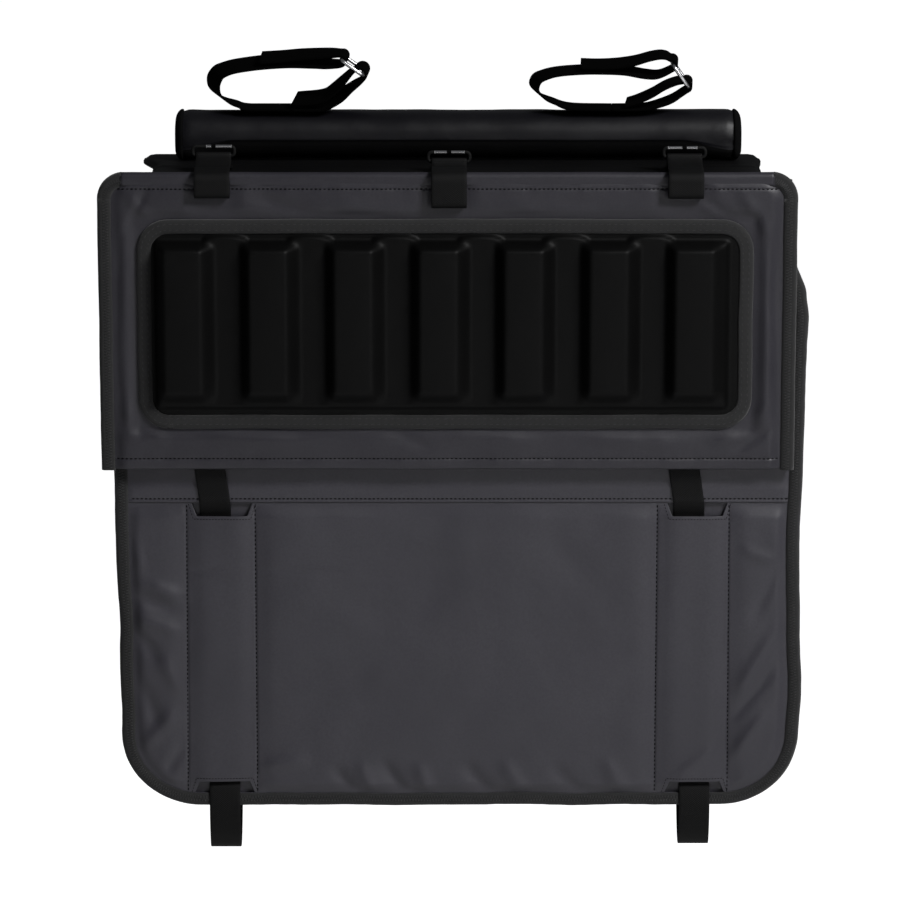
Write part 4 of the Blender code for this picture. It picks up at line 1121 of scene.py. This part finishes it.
# Webbing and the anchor loops
# Woven webbing is sewn to the saddle, goes over a wire ring's lower bar and over the flap's top
# edge, and turns under. The welded ring's upper bar is free, for a shoulder strap's hook.
ANCHOR_WIDTH = 0.036
ANCHOR_THICK = 0.0018
ANCHOR_FOLD = 0.0052
ANCHOR_WRAP = 0.0030
RING_Y = -0.0520
ANCHOR_INNER_Y = -0.0864
ANCHOR_OUTER_Y = -0.0968
ANCHOR_TOP_Z = 0.0116
SEWN_Z = 0.0092
ANCHOR_RING = (0.0385, 0.0095, 0.0036)
ANCHORS = {
    "left": (-0.2370, 0.0240, -0.0075), "centre": (0.0015, 0.0180, -0.0175),
    "right": (0.2400, 0.0225, -0.0080)}


def smooth_route(stops, steps):
    """Points along a smooth curve through the given stops, which never loops where they lie close."""
    stops = [Vector(stop) for stop in stops]
    ends = [2 * stops[0] - stops[1]] + stops + [2 * stops[-1] - stops[-2]]
    route = []
    for before, start, end, after in zip(ends, ends[1:], ends[2:], ends[3:]):
        arriving = sqrt((start - before).length)
        crossing = sqrt((end - start).length)
        leaving = sqrt((after - end).length)
        chord = end - start
        slope_in = chord + crossing * ((start - before) / arriving - (end - before) / (arriving + crossing))
        slope_out = chord + crossing * ((after - end) / leaving - (after - start) / (crossing + leaving))
        for step in range(steps):
            share = step / steps
            rest = 1 - share
            swing = share * rest ** 2 * slope_in - share * share * rest * slope_out
            route.append(start + share * share * (3 - 2 * share) * chord + swing)
    return route + [stops[-1]]


def bend(centre, radius, start, sweep, steps=8):
    """Points round a bar: from one angle through a sweep, both in turns of pi."""
    turns = [pi * (start + sweep * step / steps) for step in range(steps + 1)]
    return [(centre[0] + radius * cos(turn), centre[1] + radius * sin(turn)) for turn in turns]


def strap(name, route, width, thickness, leans, material, *nodes):
    """Woven webbing along a route: flat, with rounded selvedges, and with its UV in metres.

    leans gives the direction across the webbing at each point, or one for all.
    """
    half = thickness / 2
    flat = width / 2 - half * 0.8
    profile = [(flat * share, half) for share in (-1.0, -0.82, -0.4, 0.0, 0.4, 0.82, 1.0)]
    turns = (pi * 0.25, pi * 0.5, pi * 0.75)
    profile += [(flat + half * 0.8 * sin(angle), half * cos(angle)) for angle in turns]
    profile += [(flat * share, -half) for share in (1.0, 0.82, 0.4, 0.0, -0.4, -0.82, -1.0)]
    profile += [(-flat - half * 0.8 * sin(angle), half * cos(angle)) for angle in reversed(turns)]
    rings = []
    lengths = [0.0]
    last = len(route) - 1
    for number, point in enumerate(route):
        arriving = (point - route[max(number - 1, 0)]).normalized()
        leaving = (route[min(number + 1, last)] - point).normalized()
        along = (arriving + leaving).normalized()
        across = (leans[number] if isinstance(leans, list) else leans).normalized()
        face = along.cross(across).normalized()
        if number:
            lengths.append(lengths[-1] + (point - route[number - 1]).length)
        run = lengths[-1]
        narrow = 1.0 - 0.006 * (1 + noise.noise(Vector((run * 40.0, width * 90.0, 0.4))))
        ring = []
        for wide, deep in profile:
            ring.append(point + across * wide * narrow + face * deep)
        rings.append(ring)
    piece = tube(name, rings, lengths)
    settle(piece, material, "webbing", *nodes)
    return piece


def webbing_material(name, colour, worn, rough, specular, relief):
    """Heavy webbing: weft ribs across it every 2.1 mm, over narrow warp ends along it."""
    material = cloth_material(name, colour, worn, rough, 500, relief, 0.00010, 0.0, specular, 0.15)
    for node in material.node_tree.nodes:
        if node.type == "GROUP" and node.node_tree == weave_group:
            node.inputs["Across"].default_value = 2 * pi / 0.0026
            node.inputs["Along"].default_value = 2 * pi / 0.0021
    return material


def wire_ring(name, centre, along, short, inner, bars, wire, material, *nodes):
    """A welded rectangular ring of round wire, made from a torus whose quarters are moved apart."""
    bend_radius = min(bars / 2, wire * 1.05)
    bpy.ops.object.select_all(action="DESELECT")
    bpy.ops.mesh.primitive_torus_add(
        major_segments=40, minor_segments=16, major_radius=bend_radius, minor_radius=wire / 2,
        rotation=(0.0, 0.0, radians(4.5)))
    ring = bpy.context.object
    ring.name = name
    bpy.ops.object.transform_apply(location=False, rotation=True, scale=False)
    bpy.context.tool_settings.mesh_select_mode = (True, False, False)
    reaches = (inner / 2 + wire / 2 - bend_radius, bars / 2 - bend_radius)
    for axis, reach in enumerate(reaches):
        for direction in (1, -1):
            bpy.ops.object.mode_set(mode="EDIT")
            bpy.ops.mesh.select_all(action="DESELECT")
            bpy.ops.object.mode_set(mode="OBJECT")
            for vertex in ring.data.vertices:
                vertex.select = vertex.co[axis] * direction > 0
            bpy.ops.object.mode_set(mode="EDIT")
            move = Vector((0.0, 0.0, 0.0))
            move[axis] = direction * reach
            bpy.ops.transform.translate(value=move)
            bpy.ops.object.mode_set(mode="OBJECT")
    turn = Matrix((along, short, along.cross(short))).transposed().to_4x4()
    ring.matrix_world = Matrix.Translation(centre) @ turn
    bpy.ops.object.transform_apply(location=True, rotation=True, scale=True)
    ring.data.materials.append(material)
    ring.data.shade_smooth()
    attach(ring, "root")
    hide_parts(*nodes)
    return ring


def steel_material(name, blackened):
    """Plated steel wire with an uneven polish. Blackened wire is bright only where it is worn."""
    material = bpy.data.materials.new(name)
    material.use_nodes = True
    tree = material.node_tree
    shader = tree.nodes["Principled BSDF"]
    place = add_node(tree, "ShaderNodeTexCoord").outputs["Object"]
    patchy = add_node(tree, "ShaderNodeTexNoise", {"Vector": place, "Scale": 300.0, "Detail": 4.0})
    rough = add_node(tree, "ShaderNodeMapRange", {
        "Value": patchy.outputs[0], "To Min": 0.16, "To Max": 0.32})
    tint = add_node(tree, "ShaderNodeMix", {
        0: patchy.outputs[0], 6: (0.56, 0.56, 0.58, 1), 7: (0.66, 0.66, 0.67, 1)}, data_type="RGBA")
    dents = add_node(tree, "ShaderNodeTexNoise", {"Vector": place, "Scale": 1400.0, "Detail": 2.0})
    relief = add_node(tree, "ShaderNodeBump", {
        "Height": dents.outputs[0], "Distance": 0.00002, "Strength": 0.6})
    tree.links.new(tint.outputs[2], shader.inputs["Base Color"])
    tree.links.new(rough.outputs[0], shader.inputs["Roughness"])
    tree.links.new(relief.outputs[0], shader.inputs["Normal"])
    shader.inputs["Metallic"].default_value = 1.0
    if blackened:
        worn = add_node(tree, "ShaderNodeAttribute", attribute_name="polish")
        edge = add_node(tree, "ShaderNodeMath", {
            0: patchy.outputs[0], 1: 0.2, 2: worn.outputs["Fac"]}, operation="MULTIPLY_ADD")
        bright = add_node(tree, "ShaderNodeMapRange", {
            "Value": edge.outputs[0], "From Min": 0.5, "From Max": 0.9})
        dull = add_node(tree, "ShaderNodeMapRange", {
            "Value": bright.outputs[0], "To Min": 0.7, "To Max": 0.24})
        tree.links.new(dull.outputs[0], shader.inputs["Roughness"])
        shader.inputs["Specular IOR Level"].default_value = 0.1
        coated = add_node(tree, "ShaderNodeMix", {
            0: bright.outputs[0], 6: (0.006, 0.006, 0.006, 1), 7: tint.outputs[2]}, data_type="RGBA")
        tree.links.new(coated.outputs[2], shader.inputs["Base Color"])
        tree.links.new(bright.outputs[0], shader.inputs["Metallic"])
    return material


STRAP_FLOOR = 0.06035
WEBBING = webbing_material(
    "black_webbing", (0.0017, 0.0017, 0.0018), (0.0032, 0.0032, 0.0034), 0.60, 0.13, 0.00034)
STEEL = steel_material("plated_steel", False)
WORN_STEEL = steel_material("blackened_steel", True)
ALONG = Vector((1, 0, 0))
# Where each anchor ring's upper bar is worn bright: its middle, beside the ring's, and half length
POLISHED = {"left": (0.0055, 0.0128), "centre": (0.0005, 0.0152), "right": (-0.0020, 0.0148)}
for place, (x, bar_z, fold_z) in ANCHORS.items():
    stops = [
        (RING_Y + 0.0300, SEWN_Z), (RING_Y + 0.0120, SEWN_Z + 0.0003), (RING_Y + 0.0051, SEWN_Z + 0.0027)]
    stops += bend((RING_Y, bar_z), ANCHOR_WRAP, 0.05, 0.95, 6)
    stops += [
        (RING_Y - 0.0100, bar_z - 0.0045), (flap_back + 0.0018, ANCHOR_TOP_Z + 0.0036),
        (FLAP_Y + 0.0009, ANCHOR_TOP_Z + 0.0031), (ANCHOR_OUTER_Y + 0.0031, ANCHOR_TOP_Z - 0.0005),
        (ANCHOR_OUTER_Y, ANCHOR_TOP_Z - 0.0059), (ANCHOR_OUTER_Y, (ANCHOR_TOP_Z + fold_z) / 2)]
    stops += bend((ANCHOR_INNER_Y - ANCHOR_FOLD, fold_z), ANCHOR_FOLD, 1.0, 1.0, 8)
    stops += [(ANCHOR_INNER_Y, fold_z + 0.0059), (ANCHOR_INNER_Y, fold_z + 0.0118)]
    route = [Vector((x, y, z)) for y, z in smooth_route(stops, 4)]
    strap(
        f"anchor_loop_{place}", route, ANCHOR_WIDTH, ANCHOR_THICK, ALONG, WEBBING,
        f"anchor_webbing_{place}")
    inner, bars, wire = ANCHOR_RING
    upper_z = bar_z + bars
    ring = wire_ring(
        f"ring_{place}", Vector((x, RING_Y, bar_z + bars / 2)), ALONG, Vector((0, 0, 1)),
        inner, bars, wire, WORN_STEEL, f"anchor_ring_{place}")
    choose(ring)
    polished_off, polished_half = POLISHED[place]
    bpy.ops.object.mode_set(mode="EDIT")
    for edge in (-polished_half, polished_half):
        for beside in (-0.0009, 0.0009):
            bpy.ops.mesh.select_all(action="SELECT")
            cut_x = x + polished_off + edge + beside
            bpy.ops.mesh.bisect(plane_co=(cut_x, 0.0, 0.0), plane_no=(1.0, 0.0, 0.0))
    bpy.ops.object.mode_set(mode="OBJECT")
    polish = ring.data.attributes.new("polish", "FLOAT", "POINT")
    for vertex, value in zip(ring.data.vertices, polish.data):
        along_bar = ramp(polished_half - abs(vertex.co.x - x - polished_off), -0.001, 0.001)
        value.value = along_bar * ramp(vertex.co.z, upper_z - 0.0026, upper_z - 0.0014)
    for turn in range(5):
        bpy.ops.object.select_all(action="DESELECT")
        bpy.ops.mesh.primitive_torus_add(
            location=(x + (turn - 2) * 0.0009, RING_Y, upper_z), rotation=(0.0, pi / 2, 0.0),
            major_radius=wire / 2 + 0.0003, minor_radius=0.00048, major_segments=20, minor_segments=8)
        thread = bpy.context.object
        thread.name = f"ring_keeper_{place}_{turn + 1}"
        bpy.ops.object.transform_apply(location=True, rotation=True, scale=False)
        thread.data.materials.append(THREAD)
        thread.data.shade_smooth()
        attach(thread, "root")

# Frame straps
# Each long strap is black hook-and-loop webbing, sewn along the bolster. It rises into a loop,
# goes through a wire ring on a short tab and folds back on itself.
STRAP_WIDTH = 0.050
STRAP_THICK = 0.0025
STRAP_Y = (bolster_low.y + bolster_high.y) / 2
STRAP_RING = (0.052, 0.027, 0.004)
STRAP_ACROSS = Vector((0.04, 1.0, -0.05))
FRAME_STRAPS = {
    "left": {
        "upper_bar": (-0.1090, 0.1120),
        "lower_bar": (-0.0870, 0.0965),
        "upper_loop": (-0.1090, 0.1115, 0.0053),
        "lower_loop": (-0.0892, 0.0973, 0.0066),
        "rising": [
            (-0.1603, STRAP_FLOOR, 0.06, 0.00), (-0.2035, STRAP_FLOOR, 0.00, 0.00),
            (-0.2170, 0.0640, -0.10, 0.00),
            (-0.2310, 0.0695, -0.26, 0.03), (-0.2400, 0.0775, -0.30, 0.07), (-0.2415, 0.0865, -0.30, 0.12),
            (-0.2380, 0.0945, -0.24, 0.15), (-0.2300, 0.0998, -0.12, 0.16), (-0.2140, 0.1040, -0.03, 0.16),
            (-0.1912, 0.1070, 0.00, 0.16), (-0.1624, 0.1085, 0.03, 0.15), (-0.1366, 0.1075, 0.05, 0.13),
            (-0.1210, 0.1055, 0.05, 0.06)],
        "upper_turn": (0.05, 0.03),
        "folding": [
            (-0.1240, 0.1165, 0.05, 0.08), (-0.1520, 0.1150, 0.05, 0.11), (-0.1727, 0.1130, 0.05, 0.12),
            (-0.1930, 0.1118, 0.05, 0.12)],
        "upper_bend": (-0.42, 0.98),
        "tab_out": [
            (-0.1600, STRAP_FLOOR, 0.06, 0.00), (-0.1340, 0.0612, 0.06, 0.06), (-0.1214, 0.0655, 0.06, 0.16),
            (-0.1090, 0.0735, 0.05, 0.20), (-0.0975, 0.0825, 0.05, 0.12)],
        "lower_turn": (0.05, 0.03),
        "tab_back": [
            (-0.1030, 0.0930, 0.06, 0.14), (-0.1110, 0.0850, 0.06, 0.20), (-0.1203, 0.0772, 0.06, 0.20),
            (-0.1300, 0.0718, 0.08, 0.18), (-0.1580, 0.0692, 0.12, 0.16)],
        "lower_bend": (-0.28, 1.10),
    },
    "right": {
        "upper_bar": (0.2316, 0.1070),
        "lower_bar": (0.2470, 0.0847),
        "upper_loop": (0.2312, 0.1068, 0.0052),
        "lower_loop": (0.2465, 0.0848, 0.0050),
        "rising": [
            (0.1687, STRAP_FLOOR, 0.06, 0.00), (0.1290, 0.0612, 0.02, 0.00), (0.1090, 0.0672, -0.06, 0.00),
            (0.0960, 0.0735, -0.14, 0.01), (0.0895, 0.0810, -0.16, 0.03), (0.0912, 0.0888, -0.14, 0.05),
            (0.1000, 0.0942, -0.08, 0.06), (0.1150, 0.0978, -0.02, 0.06), (0.1365, 0.0995, 0.02, 0.06),
            (0.1571, 0.0998, 0.05, 0.06), (0.1829, 0.0988, 0.06, 0.06), (0.2036, 0.0952, 0.06, 0.06),
            (0.2180, 0.0950, 0.06, 0.04)],
        "upper_turn": (0.06, 0.02),
        "folding": [
            (0.2250, 0.1145, 0.06, 0.04), (0.2170, 0.1150, 0.06, 0.06), (0.2070, 0.1130, 0.06, 0.07),
            (0.1931, 0.1090, 0.06, 0.08), (0.1725, 0.1058, 0.05, 0.09), (0.1520, 0.1050, 0.04, 0.09),
            (0.1370, 0.1055, 0.04, 0.09)],
        "upper_bend": (-0.38, 0.93),
        "tab_out": [
            (0.1690, STRAP_FLOOR, 0.06, 0.00), (0.2000, 0.0608, 0.06, 0.01), (0.2142, 0.0635, 0.06, 0.03),
            (0.2317, 0.0698, 0.06, 0.05), (0.2420, 0.0765, 0.06, 0.04)],
        "lower_turn": (0.06, 0.02),
        "tab_back": [
            (0.2360, 0.0880, 0.06, 0.04), (0.2233, 0.0830, 0.06, 0.06), (0.2110, 0.0757, 0.06, 0.07),
            (0.1945, 0.0685, 0.08, 0.07), (0.1840, 0.0655, 0.10, 0.06)],
        "lower_bend": (-0.40, 1.05),
    },
}
HOOK_AND_LOOP = webbing_material(
    "hook_and_loop", (0.0006, 0.0006, 0.0006), (0.0012, 0.0012, 0.0012), 0.95, 0.02, 0.00025)


def over_bolster(route):
    """The points of a route over the bolster, which never dips into it, and the way across each.

    A stop is x, z, and how far the strap's back edge lies to the right and up, per metre of width.
    """
    smooth = smooth_route(route, 6)
    points = [Vector((x, STRAP_Y, max(z, STRAP_FLOOR))) for x, z, _, _ in smooth]
    return points, [Vector((aside, 1.0, rise)) for _, _, aside, rise in smooth]


for side, parts_of_strap in FRAME_STRAPS.items():
    loop_x, loop_z, loop_radius = parts_of_strap["upper_loop"]
    upper = [
        (*turn, *parts_of_strap["upper_turn"])
        for turn in bend((loop_x, loop_z), loop_radius, *parts_of_strap["upper_bend"])]
    loop_x, loop_z, loop_radius = parts_of_strap["lower_loop"]
    lower = [
        (*turn, *parts_of_strap["lower_turn"])
        for turn in bend((loop_x, loop_z), loop_radius, *parts_of_strap["lower_bend"])]
    points, leans = over_bolster(parts_of_strap["rising"] + upper + parts_of_strap["folding"])
    strap(
        f"frame_loop_{side}", points, STRAP_WIDTH, STRAP_THICK, leans, HOOK_AND_LOOP,
        f"frame_strap_{side}")
    points, leans = over_bolster(parts_of_strap["tab_out"] + lower + parts_of_strap["tab_back"])
    strap(
        f"ring_tab_{side}", points, STRAP_WIDTH, STRAP_THICK, leans, HOOK_AND_LOOP,
        f"frame_strap_tab_{side}")
    (high_x, high_z), (low_x, low_z) = parts_of_strap["upper_bar"], parts_of_strap["lower_bar"]
    short = Vector((low_x - high_x, 0.0, low_z - high_z)).normalized()
    ring_across = (STRAP_ACROSS - short * STRAP_ACROSS.dot(short)).normalized()
    middle = Vector(((high_x + low_x) / 2, STRAP_Y, (high_z + low_z) / 2))
    inner, bars, wire = STRAP_RING
    wire_ring(
        f"strap_ring_{side}", middle, ring_across, short, inner, bars, wire, STEEL,
        f"frame_strap_ring_{side}")

# Inner flap
# One layer of the padded knit hangs behind the tailgate, with tape round its free edge.
inner_low, inner_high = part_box("inner_flap")
INNER_MIDDLE = (inner_low.x + inner_high.x) / 2
INNER_HALF = (inner_high.x - inner_low.x) / 2
INNER_CORNER = 0.050


def inner_half_width(z):
    """Half the inner flap's width at a height."""
    below = inner_low.z + INNER_CORNER - z
    return INNER_HALF - INNER_CORNER + sqrt(max(INNER_CORNER ** 2 - max(below, 0.0) ** 2, 0.0))


def inner_place(x, z):
    """A corner of the inner flap's front."""
    half = inner_half_width(z)
    across = INNER_MIDDLE + (x - INNER_MIDDLE) / INNER_HALF * half
    free = ramp(half - abs(across - INNER_MIDDLE), TAPE_WIDTH, 0.05)
    free *= ramp(z - inner_low.z, TAPE_WIDTH, 0.05)
    return Vector((across, inner_low.y + 0.0006 * (waves(across, z, 11.0, 31.0) - 0.4) * free, z))


inner_sheet = cloth(
    "inner_flap_sheet", steps(inner_low.x, inner_high.x, 0.010),
    steps(inner_low.z, inner_high.z, 0.008), inner_place)
thicken(inner_sheet, inner_high.y - inner_low.y)
settle(inner_sheet, LINING, "lining", "inner_flap")
inner_edge = hanging_edge(inner_low, inner_high, inner_high.z, INNER_CORNER, 24)
inner_tape = swept(
    "inner_flap_tape", inner_edge, folded(inner_low.y, inner_high.y, fold=0.0015), False, 0.0008)
settle(inner_tape, BINDING, "binding", "inner_flap_binding")
inner_zigzag = zigzag(inner_edge, inner_low.y - TAPE - 0.0002, *STITCH_INSETS)
stitches("inner_tape_stitches", inner_zigzag, TAPE_THREAD, LIGHT_THREAD)

# Ties and buckles
# Each tie is sewn behind the flap's hem, goes down its channel through the two slots, hangs in
# a slack loop and rises behind the tailgate to a moulded ladder-lock buckle.
TIE_WIDTH = 0.032
TIE_THICK = 0.0018
BUCKLE_Y = 0.0695
TURN = 0.0047
TOP_BAR_Z = -0.268
MIDDLE_BAR_Z = -0.281
BOTTOM_BAR_Z = -0.294
TIES = {
    "left": (-0.2315, -0.2437, -0.2385, 0.0490), "right": (0.2565, 0.2415, 0.2475, 0.0455)}
TIE_TOP = [
    (-0.0744, -0.2620), (-0.0744, -0.2959), (-0.0722, -0.3242), (-0.0722, -0.3310), (-0.0663, -0.3455),
    (-0.0663, -0.3520), (-0.0663, -0.6255), (-0.0663, -0.6300), (-0.0718, -0.6400)]
FALLING = ((0.0, 0.08), (0.007, 0.37), (0.044, 0.73), (0.117, 1.0), (0.220, 0.98), (0.338, 0.61))
RISING = ((0.484, 0.011), (0.719, 0.256), (0.895, 0.556), (0.987, 0.833))
LOOP_START = -0.0718
LOOP_SPAN = 0.1366
LOOP_RISE = 0.3600
ACETAL = bpy.data.materials.new("moulded_acetal")
ACETAL.use_nodes = True
acetal_tree = ACETAL.node_tree
acetal_place = add_node(acetal_tree, "ShaderNodeTexCoord").outputs["Object"]
grain = add_node(acetal_tree, "ShaderNodeTexNoise", {"Vector": acetal_place, "Scale": 2200.0, "Detail": 3.0})
grain_bump = add_node(acetal_tree, "ShaderNodeBump", {
    "Height": grain.outputs[0], "Distance": 0.00003, "Strength": 0.8})
grain_rough = add_node(acetal_tree, "ShaderNodeMapRange", {
    "Value": grain.outputs[0], "To Min": 0.36, "To Max": 0.52})
acetal_shader = acetal_tree.nodes["Principled BSDF"]
acetal_shader.inputs["Base Color"].default_value = (0.0110, 0.0110, 0.0112, 1)
acetal_tree.links.new(grain_rough.outputs[0], acetal_shader.inputs["Roughness"])
acetal_tree.links.new(grain_bump.outputs[0], acetal_shader.inputs["Normal"])
for side, (low_x, hem_x, slot_x, drop) in TIES.items():
    buckle = bpy.data.objects[f"tie_buckle_{side}"]
    for number in range(len(buckle.material_slots)):
        buckle.material_slots[number].material = ACETAL
    holder = [(0.0735, inner_low.z + 0.036), (0.0735, inner_low.z - 0.003)]
    holder += bend((BUCKLE_Y, TOP_BAR_Z), TURN, 0.0, -1.0, 12)
    holder += [(0.0655, inner_low.z - 0.003), (0.0655, inner_low.z + 0.036)]
    holder_route = [Vector((low_x, y, z)) for y, z in holder]
    strap(
        f"buckle_loop_{side}", holder_route, TIE_WIDTH, TIE_THICK, ALONG, WEBBING, f"buckle_webbing_{side}")
    hanging = [(LOOP_START + LOOP_SPAN * back, face_low.z - drop * share) for back, share in FALLING]
    hanging += [(LOOP_START + LOOP_SPAN * back, face_low.z + LOOP_RISE * share) for back, share in RISING]
    hanging += [(BUCKLE_Y - TURN, BOTTOM_BAR_Z - 0.008), (BUCKLE_Y - TURN, MIDDLE_BAR_Z)]
    stops = smooth_route(TIE_TOP, 4)[:-1] + smooth_route(hanging, 6)[:-1]
    stops += [Vector(place) for place in bend((BUCKLE_Y, MIDDLE_BAR_Z), TURN, 1.0, -1.0, 12)]
    stops += [
        Vector((0.0742, BOTTOM_BAR_Z - 0.006)), Vector((0.0782, BOTTOM_BAR_Z - 0.045)),
        Vector((0.0790, BOTTOM_BAR_Z - 0.090))]
    route = []
    for y, z in stops:
        x = low_x
        if z > -0.332 and y < 0:
            x = hem_x + (slot_x - hem_x) * max((z + 0.292) / -0.040, 0.0)
        elif y < -0.066:
            x = slot_x + (low_x - slot_x) * min((z + 0.332) / -0.3095, 1.0)
        route.append(Vector((x, y, z)))
    strap(f"tie_{side}", route, TIE_WIDTH, TIE_THICK, ALONG, WEBBING, f"tie_strap_{side}")

# Foam
# The flap holds a sheet of closed-cell foam, seen only where its tape and its hem leave a gap.
FOAM = cloth_material(
    "closed_cell_foam", (0.0400, 0.0400, 0.0400), (0.0600, 0.0600, 0.0600), 0.95, 400, 0.0, 0.0004, 0.0, 0.2)
foam_node = bpy.data.objects["flap_foam"]
for number in range(len(foam_node.material_slots)):
    foam_node.material_slots[number].material = FOAM

# Floor, world and lamps
# A plain white studio: a floor far below the hanging pad, a pale world, a soft key lamp high on
# the right, and a faint narrow one on the lower panel. Mirrored, only the floor in front glows.
FLOOR_Z = -1.45
bpy.ops.object.select_all(action="DESELECT")
bpy.ops.mesh.primitive_plane_add(size=80.0, location=(0.0, 0.0, FLOOR_Z))
floor = bpy.context.object
floor.name = "studio_floor"
FLOOR = bpy.data.materials.new("studio_white")
FLOOR.use_nodes = True
floor_tree = FLOOR.node_tree
floor_shader = floor_tree.nodes["Principled BSDF"]
floor_shader.inputs["Base Color"].default_value = (0.80, 0.80, 0.80, 1)
floor_shader.inputs["Roughness"].default_value = 0.9
rays = add_node(floor_tree, "ShaderNodeLightPath")
floor_place = add_node(floor_tree, "ShaderNodeTexCoord").outputs["Object"]
spot = add_node(floor_tree, "ShaderNodeSeparateXYZ", {0: floor_place})
aside = add_node(floor_tree, "ShaderNodeMath", {0: spot.outputs[0]}, operation="ABSOLUTE")
ahead = add_node(floor_tree, "ShaderNodeMath", {0: spot.outputs[1], 1: -1.0}, operation="MULTIPLY")
front = add_node(floor_tree, "ShaderNodeMath", {
    0: ahead.outputs[0], 1: aside.outputs[0]}, operation="SUBTRACT")
in_front = add_node(floor_tree, "ShaderNodeMapRange", {
    "Value": front.outputs[0], "From Min": -1.5, "From Max": 1.5})
mirrored = add_node(floor_tree, "ShaderNodeMath", {
    0: rays.outputs["Is Glossy Ray"], 1: in_front.outputs[0]}, operation="MULTIPLY")
dimmed = add_node(floor_tree, "ShaderNodeMath", {0: mirrored.outputs[0], 1: 0.4}, operation="MULTIPLY")
seen = add_node(floor_tree, "ShaderNodeMath", {
    0: rays.outputs["Is Camera Ray"], 1: dimmed.outputs[0]}, operation="MAXIMUM")
seen_through = add_node(floor_tree, "ShaderNodeMath", {
    0: seen.outputs[0], 1: rays.outputs["Is Transmission Ray"]}, operation="MAXIMUM")
glow = add_node(floor_tree, "ShaderNodeEmission", {"Color": (1, 1, 1, 1), "Strength": 0.95})
none = add_node(floor_tree, "ShaderNodeEmission", {"Color": (0, 0, 0, 1), "Strength": 0.0})
backing = add_node(floor_tree, "ShaderNodeMixShader", {
    0: seen_through.outputs[0], 1: none.outputs[0], 2: glow.outputs[0]})
both_shaders = add_node(floor_tree, "ShaderNodeAddShader", {
    0: floor_shader.outputs[0], 1: backing.outputs[0]})
floor_tree.links.new(both_shaders.outputs[0], floor_tree.nodes["Material Output"].inputs["Surface"])
floor.data.materials.append(FLOOR)

world = bpy.data.worlds.new("studio_world")
bpy.context.scene.world = world
world.use_nodes = True
world_tree = world.node_tree
plain = world_tree.nodes["Background"]
plain.inputs["Color"].default_value = (0.95, 0.97, 1.0, 1)
plain.inputs["Strength"].default_value = 0.09
white = add_node(world_tree, "ShaderNodeBackground", {"Color": (1, 1, 1, 1), "Strength": 1.0})
world_rays = add_node(world_tree, "ShaderNodeLightPath")
world_seen = add_node(world_tree, "ShaderNodeMath", {
    0: world_rays.outputs["Is Camera Ray"], 1: world_rays.outputs["Is Transmission Ray"]},
    operation="MAXIMUM")
world_mix = add_node(world_tree, "ShaderNodeMixShader", {
    0: world_seen.outputs[0], 1: plain.outputs[0], 2: white.outputs[0]})
world_tree.links.new(world_mix.outputs[0], world_tree.nodes["World Output"].inputs["Surface"])


def soft_lamp(name, place, aim, width, height, watts):
    """A rectangular soft lamp that points at a place."""
    lamp = bpy.data.lights.new(name, "AREA")
    lamp.shape = "RECTANGLE"
    lamp.size = width
    lamp.size_y = height
    lamp.energy = watts
    holder = bpy.data.objects.new(name, lamp)
    holder.location = place
    holder.rotation_euler = (Vector(aim) - Vector(place)).to_track_quat("-Z", "Y").to_euler()
    bpy.context.scene.collection.objects.link(holder)
    return holder


soft_lamp("key_lamp", (2.2, -2.2, 2.2), (0.0, 0.0, -0.2), 1.0, 1.0, 160.0)
panel_lamp = soft_lamp("panel_lamp", (0.9, -2.6, -0.2), (0.08, 0.0, -0.47), 0.6, 0.6, 0.30)
panel_lamp.data.spread = radians(34.0)
bpy.context.scene.view_settings.view_transform = "Standard"

# Camera
# It stands at the photograph's angle: 12 degrees above the pad, 4.5 m off, with a long lens.
bpy.ops.object.camera_add(location=(0.0025, -4.4853, 0.6616), rotation=(radians(78.0), 0.0, 0.0))
camera = bpy.context.object
camera.data.lens = 176.47
camera.data.sensor_width = 36.0
bpy.context.scene.camera = camera
